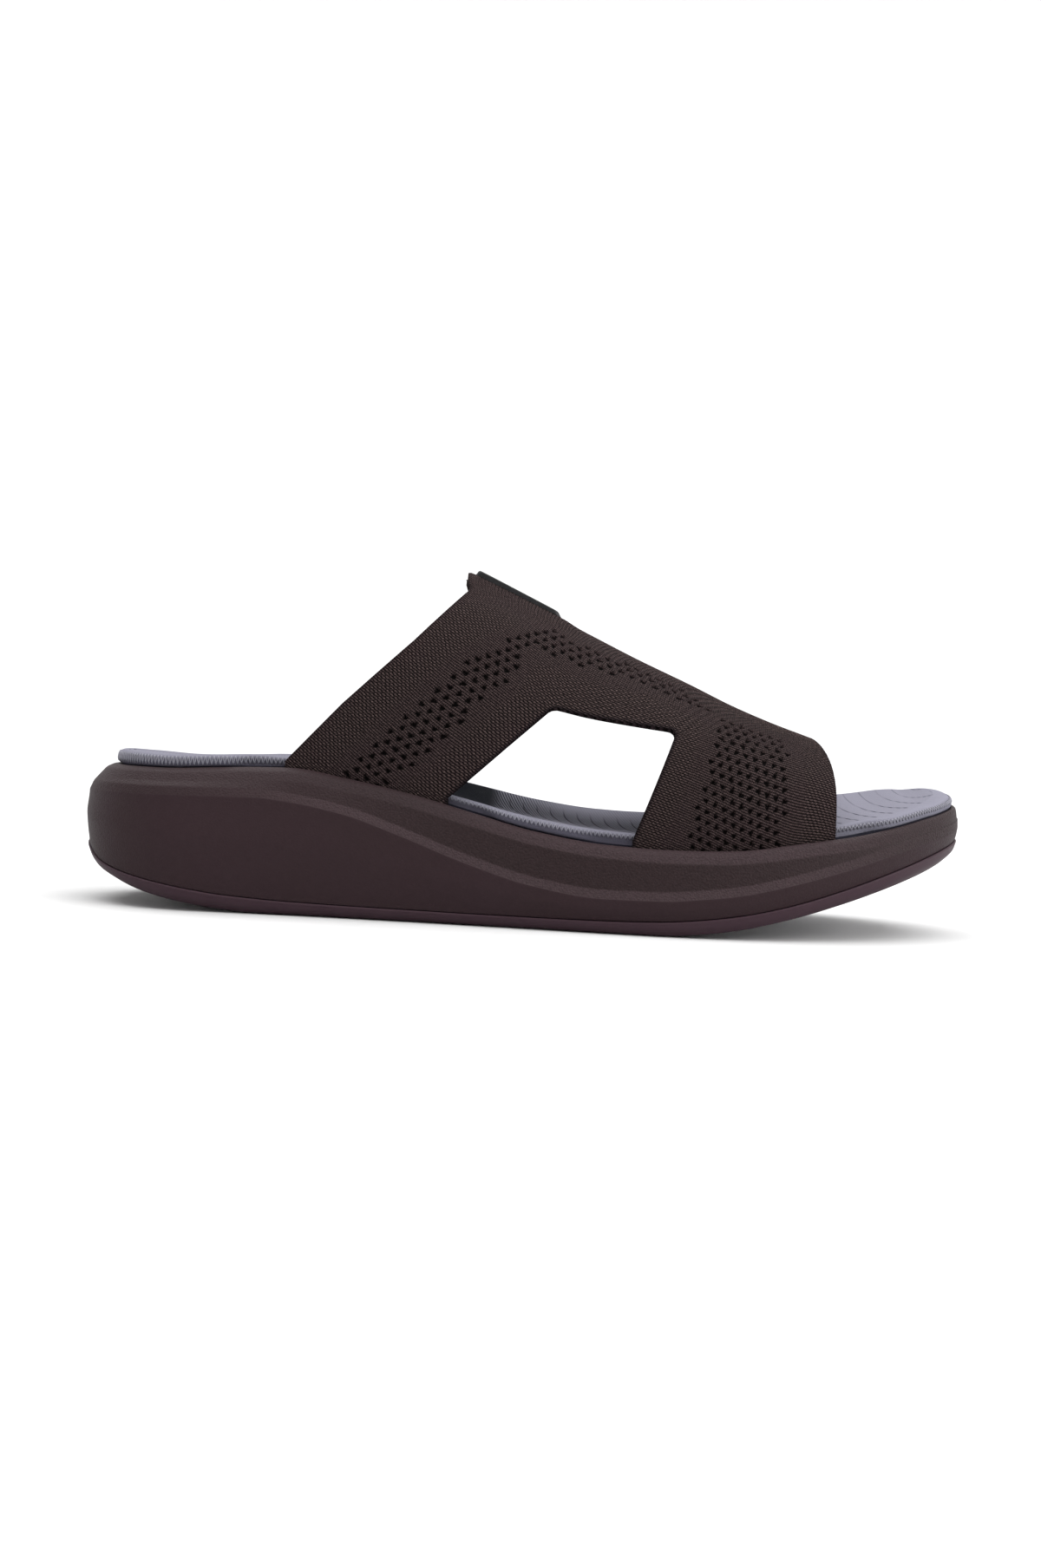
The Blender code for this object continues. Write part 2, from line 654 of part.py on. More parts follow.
# --- assembly ------------------------------------------------------------------------------------------
def clear_scene():
    for item in list(bpy.data.objects):
        bpy.data.objects.remove(item, do_unlink=True)


def centre_on_base(pieces):
    """Hangs every piece from one empty, so that the origin is the middle of the sandal's base."""
    bpy.context.view_layer.update()
    corners = np.array([corner for piece in pieces for corner in piece.bound_box])
    low, high = corners.min(0), corners.max(0)
    sandal = bpy.data.objects.new("sandal", None)
    bpy.context.scene.collection.objects.link(sandal)
    sandal.location = (-(low[0] + high[0]) / 2, -(low[1] + high[1]) / 2, -low[2])
    for piece in [*pieces, bpy.data.objects["tread_grooves"]]:
        piece.parent = sandal


def main():
    clear_scene()
    knit = new_material("brown_knit", (0.035, 0.024, 0.022), 0.85)
    foam = new_material("brown_eva", (0.040, 0.028, 0.027), 0.65)
    rubber = new_material("brown_rubber", (0.040, 0.024, 0.025), 0.55)
    textile = new_material("grey_textile", (0.19, 0.20, 0.24), 0.9)
    plate = new_material("black_plate", (0.01, 0.01, 0.011), 0.35)
    pieces = [outsole(rubber), midsole(foam), insole(textile), Upper().build(knit), badge(plate)]
    centre_on_base(pieces)


main()
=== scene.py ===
"""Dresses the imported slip-on sandal: grained foam midsole, grooved rubber outsole, printed textile insole
with its edge stitching, knitted upper and a bare satin badge, on a plain studio stage.

Lengths are in millimetres in the last's own frame (x from the heel end of the footbed's edge to the toe,
y to the medial side, z up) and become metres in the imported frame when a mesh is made.
"""

import math
from functools import partial
from itertools import product

import bmesh
import bpy
import numpy as np
from bpy.props import FloatProperty, FloatVectorProperty, PointerProperty
from mathutils import Matrix, Vector


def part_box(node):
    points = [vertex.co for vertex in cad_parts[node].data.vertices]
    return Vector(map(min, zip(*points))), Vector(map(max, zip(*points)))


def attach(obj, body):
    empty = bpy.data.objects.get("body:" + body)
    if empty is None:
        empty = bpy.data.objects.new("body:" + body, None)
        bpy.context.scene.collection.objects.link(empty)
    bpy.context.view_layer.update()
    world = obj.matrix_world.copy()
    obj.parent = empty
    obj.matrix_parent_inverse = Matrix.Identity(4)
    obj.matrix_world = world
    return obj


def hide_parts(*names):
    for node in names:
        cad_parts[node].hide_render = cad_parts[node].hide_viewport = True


bl_info = {
    "name": "Knitted Slide Sandal",
    "version": (1, 0, 0),
    "blender": (4, 5, 0),
    "location": "View3D > Sidebar > Sandal",
    "description": "Builds the visible pieces of a knitted slip-on sandal round its packed solids",
    "category": "Object",
}

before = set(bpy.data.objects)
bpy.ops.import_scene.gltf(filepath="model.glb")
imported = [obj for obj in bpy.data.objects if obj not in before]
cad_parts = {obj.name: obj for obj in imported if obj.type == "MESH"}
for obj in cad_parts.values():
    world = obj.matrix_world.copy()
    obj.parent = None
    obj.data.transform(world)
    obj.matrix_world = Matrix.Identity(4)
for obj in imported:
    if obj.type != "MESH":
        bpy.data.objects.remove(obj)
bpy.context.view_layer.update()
MM = 0.001

# --- the last and the solids on it ---------------------------------------------------------------------
LAST_LENGTH = 280.0
HEEL_ROUND = 34.0
TOE_ROUND = 74.0
GAP = 0.3  # between solids that meet
CHORD_PLAY = 0.2  # room for the chords of their facets
LIP = 1.5  # the rim's narrow flat top
WELL_DEPTH = 2.2
WALL = 2.0  # the upper's
INSET = -(LIP + GAP + CHORD_PLAY)  # the insole's edge and the upper's foot, from the rim's outer edge
STRAP_ROOM = WALL + GAP + CHORD_PLAY  # what the insole leaves free for a strap outside it
PINCH_RUN = 10.0  # over this length the insole draws in before a strap
OUTSOLE_PROUD = 0.5
LEDGE_RISE = 2.8
SHOULDER = 4.2
ARCH_TUCK = 5.0
TUCK_AT_PARTING = 0.6  # share of the arch's tuck that is left where foam and rubber part
GROOVE_PITCH = 13.0
GROOVE_WIDTH = 3.0
GROOVE_DEPTH = 1.5
GROOVE_BOW = 5.0
GROOVE_MARGIN = 7.0
GROOVE_FIRST = 26.0
GROOVE_LAST = 262.0
BADGE_START = 116.6
BADGE_END = 145.3
BADGE_HALF = 9.0
BADGE_THICK = 1.25
BADGE_THICKER = 0.3  # more at the rear end
BADGE_WEDGE = 0.75  # how much higher its rear end lies
BADGE_SLANT = 1.1  # how far its ends lean inwards
BADGE_SEAT = 1.3  # how far the knit beside the ridge is lifted to carry it

# --- what is added to the solids -----------------------------------------------------------------------
TOE_RIM_DROP = 1.2
BAND_SWELL = 1.3  # how far the cover's rolled band stands out
BAND_HEIGHT = 4.0  # over which its cloth darkens
NOSE = (248, 279)  # along the last, where the band widens into the toe's roll
THREAD = (0.2, 0.25)  # a stitch's radius and the height of its arch
TAB_X = 114.0  # the collar's middle, which ends in a rolled tab
TAB_HALF = 13.5
TAB_FADE = (2.5, 4.0)  # inwards and outwards from its corners
TAB_LIFT = 0.72
STITCH_WALES = 3.0  # wales in one coarse stitch
SLIT_SLOPE = 0.4  # the slits lie steeper than their course
LOOP_PITCH = (5.2, 16.0)  # the footbed's pressed loops, along and across it
LOOP_CENTRE = (271.0, 22.0)
BOW_PITCH = 4.6
HATCH_PITCH = 1.0
# Along the last: where each area of the footbed's print starts, is full, is still full, and ends.
PRINTED = (57.0, 66.0, 124.0, 130.0)
HATCHED = (122.0, 126.0, 130.0, 152.0)
FAINTLY_HATCHED = (150.0, 176.0, 205.0, 222.0)


class Table:
    """Rows of named columns against x, read between the rows with a curve that never overshoots them."""

    def __init__(self, columns, rows):
        data = np.array(rows, float)
        self.x = data[:, 0]
        self.rows = {name: data[:, i] for i, name in enumerate(columns.split()) if i}
        self.slopes = {name: self._slopes(y) for name, y in self.rows.items()}

    def _slopes(self, y):
        rise = np.diff(y) / np.diff(self.x)
        slopes = np.zeros(len(y))
        slopes[0], slopes[-1] = rise[0], rise[-1]
        same_way = rise[:-1] * rise[1:] > 0
        total = np.where(same_way, rise[:-1] + rise[1:], 1.0)
        slopes[1:-1] = np.where(same_way, 2 * rise[:-1] * rise[1:] / total, 0.0)
        return slopes

    def __call__(self, name, x):
        x = np.clip(x, self.x[0], self.x[-1])
        i = np.clip(np.searchsorted(self.x, x) - 1, 0, len(self.x) - 2)
        width = self.x[i + 1] - self.x[i]
        t = (x - self.x[i]) / width
        y, slope = self.rows[name], self.slopes[name]
        return (
            (1 + 2 * t) * (1 - t) ** 2 * y[i]
            + t * (1 - t) ** 2 * width * slope[i]
            + t * t * (3 - 2 * t) * y[i + 1]
            - t * t * (1 - t) * width * slope[i + 1]
        )


# The footbed's edge in plan: its centre line, and its half width before the ends are rounded.
PLAN = Table(
    "x centre half",
    [
        (0, 0.0, 34.0),
        (34, 0.0, 34.0),
        (60, -0.3, 34.6),
        (100, -2.5, 35.8),
        (130, -4.0, 38.4),
        (160, -3.2, 43.4),
        (190, -0.8, 48.2),
        (206, 0.6, 49.0),
        (240, 3.6, 49.0),
        (280, 6.2, 49.0),
    ],
)
# Heights: ground, parting line, ledge and rim, what the rim rises on the medial side (bank), the insole's
# height over the rim (pad) and the depth of its hollow (dish).
SIDE = Table(
    "x ground parting ledge rim bank pad dish",
    [
        (0, 13.2, 19.0, 35.6, 44.4, 0.0, 4.2, 3.2),
        (7, 8.8, 13.0, 35.7, 44.2, -0.3, 4.1, 3.2),
        (20, 4.3, 9.0, 35.8, 44.2, -0.7, 3.7, 3.2),
        (40, 0.8, 5.6, 36.2, 45.2, -0.7, 3.4, 3.2),
        (52, 0.0, 4.7, 36.3, 45.8, -0.4, 3.2, 3.0),
        (62, 0.0, 4.2, 35.5, 46.0, 0.5, 3.0, 2.6),
        (80, 0.0, 3.8, 32.4, 43.4, 2.0, 2.8, 2.0),
        (100, 0.0, 3.6, 26.0, 39.6, 3.0, 2.8, 1.6),
        (120, 0.0, 3.5, 19.0, 34.6, 3.4, 3.2, 1.4),
        (140, 0.0, 3.5, 13.4, 29.8, 3.5, 3.8, 1.4),
        (162, 0.0, 3.7, 10.6, 26.9, 3.6, 4.0, 1.6),
        (180, 0.0, 4.3, 10.8, 26.3, 4.0, 3.8, 1.6),
        (190, 0.7, 5.2, 11.7, 26.4, 4.3, 3.6, 1.6),
        (202, 2.4, 6.9, 13.3, 26.9, 4.6, 3.5, 1.5),
        (217, 5.9, 10.3, 16.8, 28.9, 5.0, 3.4, 1.4),
        (235, 11.2, 15.9, 22.0, 32.4, 5.4, 3.3, 1.2),
        (255, 17.8, 23.0, 28.4, 36.5, 5.4, 3.3, 1.0),
        (270, 22.8, 28.2, 32.4, 39.6, 5.0, 3.4, 1.0),
        (280, 26.6, 31.6, 34.9, 40.4, 4.4, 3.4, 1.0),
    ],
)
# How far the sole's lines stand outside the footbed's edge.
FLARE = Table(
    "x ground parting belly ledge panel shoulder",
    [
        (0, 3.6, 7.4, 8.6, 8.0, 6.8, 5.3),
        (34, 3.4, 6.2, 8.2, 7.2, 6.0, 4.2),
        (70, 3.1, 5.3, 7.2, 6.8, 5.4, 3.9),
        (100, 2.9, 5.0, 6.7, 6.5, 5.0, 3.6),
        (140, 2.6, 4.6, 6.2, 6.2, 4.6, 3.4),
        (190, 2.8, 4.4, 5.6, 5.8, 4.2, 3.2),
        (250, 0.8, 2.8, 3.5, 3.8, 2.7, 2.3),
        (270, -1.2, 1.1, 1.8, 2.1, 1.6, 1.4),
        (280, -2.1, 0.4, 0.9, 1.1, 1.0, 0.8),
    ],
)
# The ridge's height and its lean to the medial side, and how full the sections are: 2 is an ellipse.
UPPER = Table(
    "x ridge lean round",
    [
        (50, 138.0, 6.0, 2.2),
        (115, 111.5, 5.5, 2.2),
        (146, 97.9, 5.0, 2.25),
        (171, 86.3, 4.0, 2.4),
        (189, 78.6, 3.4, 2.5),
        (203, 72.3, 3.0, 2.6),
        (217, 67.0, 2.6, 2.65),
        (228, 63.4, 2.4, 2.7),
        (240, 59.4, 2.2, 2.7),
    ],
)
LATERAL, MEDIAL = -1, 1
# Borders of the knit as points (x, z) in side view.
COLLAR = ((59.0, 47.2), (77.0, 67.0), (98.4, 88.0), (121.0, 112.3))
WINDOW_REAR = {LATERAL: ((110.2, 37.4), (143.3, 68.7)), MEDIAL: ((107.6, 40.5), (144.5, 72.3))}
WINDOW_FRONT = {LATERAL: ((169.7, 28.5), (182.6, 63.3)), MEDIAL: ((180.5, 31.0), (193.2, 68.2))}
WINDOW_RIDGE = (164.0, 190.0)  # where the windows' borders would meet the ridge
TOE_EDGE = (233.3, 229.5, 239.0)  # x at the lateral foot, the ridge and the medial foot
TOE_SWING = (0.1, 0.85)  # shares of the way down between which it swings from the one to the other


def half_width(x):
    heel = np.sqrt(np.clip(1 - ((HEEL_ROUND - x) / HEEL_ROUND) ** 2, 0, 1))
    toe = np.sqrt(np.clip(1 - ((x - LAST_LENGTH + TOE_ROUND) / TOE_ROUND) ** 2, 0, 1))
    rounded = np.where(x < HEEL_ROUND, heel, np.where(x > LAST_LENGTH - TOE_ROUND, toe, 1))
    return PLAN("half", x) * rounded


class Outline:
    """The footbed's edge as a loop of stations: heel end, lateral side, toe end, medial side."""

    def __init__(self, steps):
        turn = np.arange(2 * steps) * math.pi / steps
        self.steps = steps
        self.x = LAST_LENGTH * (1 - np.cos(turn)) / 2
        self.side = np.where(np.arange(2 * steps) <= steps, LATERAL, MEDIAL)
        self.y = PLAN("centre", self.x) + self.side * half_width(self.x)
        along_x = np.roll(self.x, -1) - np.roll(self.x, 1)
        along_y = np.roll(self.y, -1) - np.roll(self.y, 1)
        length = np.hypot(along_x, along_y)
        self.nx, self.ny = along_y / length, -along_x / length

    def offset(self, out):
        return self.x + self.nx * out, self.y + self.ny * out

    def loop(self, out, z):
        x, y = self.offset(out)
        return np.column_stack([x, y, np.broadcast_to(z, x.shape)])

    @property
    def medial_share(self):
        """0 on the lateral side, 1 on the medial side, turning smoothly round the ends."""
        return (1 + self.ny) / 2


RING = Outline(240)


def read_edge(values, x, side, out):
    """A value known round the footbed's edge, where that edge, moved out by a distance, passes x."""
    order = slice(0, RING.steps + 1) if side == LATERAL else slice(None, RING.steps - 1, -1)
    return float(np.interp(x, RING.offset(out)[0][order], values[order]))


def edge_y(x, side, out):
    return read_edge(RING.offset(out)[1], x, side, out)


def rim_z(x, medial_share):
    return SIDE("rim", x) + SIDE("bank", x) * medial_share


def shown_rim(x, medial_share):
    """The rim as it shows: pressed lower by wear on the lateral side of the toe."""
    zone = smoothstep(x, 218, 245) * spread_out(x, 268, 280) * (1 - medial_share)
    return rim_z(x, medial_share) - TOE_RIM_DROP * zone


def smoothstep(value, low, high):
    t = np.clip((value - low) / (high - low), 0, 1)
    return t * t * (3 - 2 * t)


def spread_out(value, low, high):
    return 1 - smoothstep(value, low, high)


def dish(x):
    """The footbed's hollow, less near the ends so that it meets the edge there."""
    return SIDE("dish", x) * smoothstep(x, 0, 30) * smoothstep(LAST_LENGTH - x, 0, 30)


def arch_tuck(x, medial_share):
    """How far the underfoot outline is drawn in along the medial waist."""
    return ARCH_TUCK * smoothstep(x, 50, 110) * smoothstep(-x, -185, -125) * medial_share


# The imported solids' origin, seen from the last's: the heel's furthest point and the midsole's widest ones.
MIDSOLE_LOW, MIDSOLE_HIGH = (np.array(corner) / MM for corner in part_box("midsole"))
BELLY_Y = RING.offset(FLARE("belly", RING.x))[1]
ORIGIN = np.array(
    [
        MIDSOLE_LOW[0] + float(FLARE("belly", 0.0)),
        (MIDSOLE_LOW[1] + MIDSOLE_HIGH[1]) / 2 - (BELLY_Y.min() + BELLY_Y.max()) / 2,
        0.0,
    ]
)


# --- meshes --------------------------------------------------------------------------------------------
TURNED_OVER = [0, 3, 2, 1]  # the corners of a quad that faces the other way
MOST_ROUNDED = 0.48  # share of the way to the next corner that a round may take up


def new_object(name, points, faces, material):
    """A smooth mesh object from points in metres and arrays of faces."""
    mesh = bpy.data.meshes.new(name)
    sizes = np.concatenate([np.full(len(group), group.shape[1]) for group in faces])
    corners = np.concatenate([group.ravel() for group in faces])
    mesh.vertices.add(len(points))
    mesh.vertices.foreach_set("co", points.astype(np.float32).ravel())
    mesh.loops.add(len(corners))
    mesh.loops.foreach_set("vertex_index", corners.astype(np.int32))
    mesh.polygons.add(len(sizes))
    mesh.polygons.foreach_set("loop_start", (np.cumsum(sizes) - sizes).astype(np.int32))
    mesh.update(calc_edges=True)
    mesh.validate()
    mesh.shade_smooth()
    mesh.materials.append(material)
    made = bpy.data.objects.new(name, mesh)
    bpy.context.scene.collection.objects.link(made)
    return made


def new_piece(name, points, faces, material, replaced, smooth_angle=40.0):
    """A visible piece from points on the last, riding on the sandal's one body."""
    piece = new_object(name, (np.asarray(points) + ORIGIN) * MM, faces, material)
    if smooth_angle:
        piece.data.set_sharp_from_angle(angle=math.radians(smooth_angle))
    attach(piece, "root")
    if replaced:
        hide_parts(replaced)
    return piece


def loop_quads(low, high):
    """Quads between two closed loops of point numbers."""
    return np.column_stack([low, np.roll(low, -1), np.roll(high, -1), high])


def grid_quads(numbers):
    """Quads between the rows and columns of a grid of point numbers."""
    return np.stack([numbers[:-1, :-1], numbers[1:, :-1], numbers[1:, 1:], numbers[:-1, 1:]], -1)


def set_attribute(piece, name, values):
    """A vector for each vertex, which the piece's material reads by this name."""
    layer = piece.data.attributes.new(name, "FLOAT_VECTOR", "POINT")
    layer.data.foreach_set("vector", np.asarray(values, np.float32).ravel())


def face_outwards(piece):
    """Drops the points that no face uses, and turns the faces outwards."""
    shape = bmesh.new()
    shape.from_mesh(piece.data)
    unused = [point for point in shape.verts if not point.link_faces]
    bmesh.ops.delete(shape, geom=unused, context="VERTS")
    bmesh.ops.recalc_face_normals(shape, faces=shape.faces)
    shape.to_mesh(piece.data)
    shape.free()


class Loft:
    """A closed body of loops stacked along the outline, filled across at its first and last loop."""

    def __init__(self):
        self.points, self.loops, self.quads, self.tris = [], [], [], []
        self.count = 0

    def add_points(self, points):
        self.points.append(points)
        start = self.count
        self.count += len(points)
        return np.arange(start, self.count)

    def add_loop(self, out, z):
        self.loops.append(self.add_points(RING.loop(out, z)))

    def add_profile(self, corners, steps=4):
        """Loops through a list of (out, z, radius) corners, each rounded over its radius."""
        line = [np.column_stack(np.broadcast_arrays(out, z, RING.x)[:2]) for out, z, _ in corners]
        self.add_loop(line[0][:, 0], line[0][:, 1])
        for k in range(1, len(corners) - 1):
            radius = corners[k][2]
            if not radius:
                self.add_loop(line[k][:, 0], line[k][:, 1])
                continue
            ends = []
            for other in (line[k - 1], line[k + 1]):
                length = np.linalg.norm(other - line[k], axis=1, keepdims=True)
                share = np.minimum(radius / np.maximum(length, 1e-6), MOST_ROUNDED)
                ends.append(line[k] + (other - line[k]) * share)
            for t in np.linspace(0, 1, steps + 1):
                at = (1 - t) ** 2 * ends[0] + 2 * t * (1 - t) * line[k] + t * t * ends[1]
                self.add_loop(at[:, 0], at[:, 1])
        self.add_loop(line[-1][:, 0], line[-1][:, 1])

    def skin(self):
        """Faces between each loop and the next."""
        for low, high in zip(self.loops, self.loops[1:]):
            self.quads.append(loop_quads(low, high))

    def fill(self, loop, cells, shape):
        """Rows of points from side to side of a loop, set in height by shape(x, share across, z)."""
        ring = np.concatenate(self.points)[loop]
        steps, count = RING.steps, len(loop)
        j = np.arange(1, steps)
        start, end = ring[j], ring[count - j]
        across = np.linspace(0, 1, cells + 1)[1:-1]
        inner = start[:, None] + (end - start)[:, None] * across[None, :, None]
        inner[..., 2] = shape(inner[..., 0], across[None, :], inner[..., 2])
        numbers = self.add_points(inner.reshape(-1, 3)).reshape(len(j), len(across))
        rows = np.column_stack([loop[j], numbers, loop[count - j]])
        self.quads.append(grid_quads(rows)[..., TURNED_OVER].reshape(-1, 4))
        for tip, row in ((loop[0], rows[0]), (loop[steps], rows[-1])):
            self.tris.append(np.column_stack([np.full(cells, tip), row[:-1], row[1:]]))
        return rows

    def build(self, name, material, replaced, slot, smooth_angle=40.0):
        faces = [np.concatenate(self.quads)]
        if self.tris:
            faces.append(np.concatenate(self.tris))
        piece = new_piece(name, np.concatenate(self.points), faces, material, replaced, smooth_angle)
        face_outwards(piece)
        return piece


def as_is(x, share, z):
    return z


def dished(x, share, z):
    return z - dish(x) * (1 - (2 * share - 1) ** 2)


# --- materials -----------------------------------------------------------------------------------------
def linear(code):
    """An sRGB hex colour as linear light."""
    values = [int(code[i : i + 2], 16) / 255 for i in (0, 2, 4)]
    return tuple(v / 12.92 if v <= 0.04045 else ((v + 0.055) / 1.055) ** 2.4 for v in values)


MODES = {"Math": "operation", "VectorMath": "operation", "MapRange": "interpolation_type", "Mix": "data_type"}


def add(tree, kind, *values, **named):
    """Adds a node with its settings and links, and gives its output, or all of them where it has several.

    A word before the values is the node's mode. The values fill its inputs in order. Of the named ones,
    those with a capital are inputs and the others are settings. An input takes a value or an output."""
    node = tree.nodes.new("ShaderNode" + kind)
    if values and isinstance(values[0], str):
        setattr(node, MODES[kind], values[0])
        values = values[1:]
    for name in [name for name in named if name.islower()]:
        setattr(node, name, named.pop(name))
    for name, value in [*enumerate(values), *named.items()]:
        socket = node.inputs[name.replace("_", " ") if isinstance(name, str) else name]
        if isinstance(value, bpy.types.NodeSocket):
            tree.links.new(value, socket)
        else:
            socket.default_value = (*value, 1.0) if socket.type == "RGBA" else value
    shown = [output for output in node.outputs if output.enabled]
    return shown[0] if len(shown) == 1 else node.outputs


def new_material(name, colour, roughness, **sockets):
    """A Principled material with these constants on the shader, and the function that adds its nodes."""
    material = bpy.data.materials.new(name)
    material.use_nodes = True
    shader = material.node_tree.nodes["Principled BSDF"]
    constants = {"Base_Color": (*colour, 1.0), "Roughness": roughness, **sockets}
    for socket, value in constants.items():
        shader.inputs[socket.replace("_", " ")].default_value = value
    return material, partial(add, material.node_tree)


def connect(material, **outputs):
    """Links outputs to the shader's own sockets."""
    tree = material.node_tree
    for socket, output in outputs.items():
        tree.links.new(output, tree.nodes["Principled BSDF"].inputs[socket.replace("_", " ")])
    return material


def millimetres(node):
    """Object coordinates in millimetres."""
    return node("VectorMath", "SCALE", node("TexCoord")["Object"], Scale=1 / MM)


def layered(node, tone, *covers):
    """A colour with others laid over it, each as far as its mask goes."""
    for mask, cover in covers:
        tone = node("Mix", "RGBA", Factor=mask, A=tone, B=cover)
    return tone


def from_half(node, value):
    """How far the value's fraction lies from a half."""
    return node("Math", "ABSOLUTE", node("Math", "SUBTRACT", node("Math", "FRACT", value), 0.5))


def comb(node, value, pitch, half):
    """1 on evenly spaced lines of this half width, 0 between them."""
    away = from_half(node, node("Math", "DIVIDE", value, pitch))
    return node("MapRange", "SMOOTHSTEP", away, half / pitch, 0.3 * half / pitch)


def wave(node, value):
    """1 where the value is whole, 0 half-way between, rounded like a cosine."""
    cosine = node("Math", "COSINE", node("Math", "MULTIPLY", value, 2 * math.pi))
    return node("Math", "MULTIPLY_ADD", cosine, 0.5, 0.5)


def from_centre(node, across, down, halves):
    """Distance from the middle of an ellipse, 1 on its edge."""
    shares = [node("Math", "DIVIDE", value, half) for value, half in zip((across, down), halves)]
    return node("VectorMath", "LENGTH", node("CombineXYZ", *shares))


def stretch(node, value, start, full, still, end):
    """1 from full to still, 0 before start and past end."""
    rise = node("MapRange", "SMOOTHSTEP", value, start, full)
    return node("Math", "MULTIPLY", rise, node("MapRange", "SMOOTHSTEP", value, end, still))


def staggered(node, wale, row):
    """Place along a row in stitches of three wales, every other row half a stitch on."""
    odd = node("Math", "PINGPONG", row, 1.0)
    return node("Math", "MULTIPLY_ADD", odd, 0.5, node("Math", "DIVIDE", wale, STITCH_WALES))


def foam_material(colours):
    """Compression-moulded EVA. The mould's fine leather grain gives it a dull, even sheen, and the skin is
    a little redder and smoother on the lower panel."""
    material, node = new_material("moulded_eva_foam", colours.foam, 0.6, Specular_IOR_Level=0.14)
    place = millimetres(node)
    upper, lit_bands, _ = node("SeparateXYZ", node("Attribute", attribute_name="panel")["Vector"])
    cloud = node("TexNoise", Vector=place, Scale=0.03, Detail=3.0)["Fac"]
    # Grain cells 0.6 mm across, with darker creases between them, on the lower panel only faint.
    cells = node("TexVoronoi", Vector=place, Scale=1.6, Randomness=1.0)["Distance"]
    fine = node("TexNoise", Vector=place, Scale=2.2, Detail=3.0)["Fac"]
    depth = node("MapRange", Value=upper, To_Min=0.4, To_Max=1.0)
    grain = node("Math", "MULTIPLY", node("Math", "ADD", cells, fine), depth)
    crease = node("MapRange", Value=grain, From_Min=0.75, From_Max=1.35, To_Min=0.0, To_Max=0.35)
    # The step and the rim's bevel carry a painted highlight, because they face up.
    tone = layered(
        node, colours.foam_low, (upper, colours.foam), (cloud, colours.foam_warm),
        (lit_bands, colours.foam_highlight), (crease, colours.foam_crease),
    )
    bump = node("Bump", Height=grain, Strength=0.6, Distance=0.3 * MM, invert=True)
    rough = node("MapRange", Value=cells, To_Min=0.52, To_Max=0.66)
    return connect(material, Base_Color=tone, Normal=bump, Roughness=rough)


def rubber_material(colours):
    """Moulded solid rubber: smoother than the foam, a touch redder, with faint scuffs underfoot."""
    material, node = new_material("moulded_rubber", colours.rubber, 0.5, Specular_IOR_Level=0.12)
    place = millimetres(node)
    scuff = node("TexNoise", Vector=place, Scale=0.12, Detail=6.0, Roughness=0.7)["Fac"]
    tone = layered(node, colours.rubber, (scuff, colours.rubber_dull))
    skin = node("TexNoise", Vector=place, Scale=2.4, Detail=3.0)["Fac"]
    bump = node("Bump", Height=skin, Strength=0.25, Distance=0.08 * MM)
    rough = node("MapRange", Value=scuff, To_Min=0.42, To_Max=0.62)
    return connect(material, Base_Color=tone, Normal=bump, Roughness=rough)


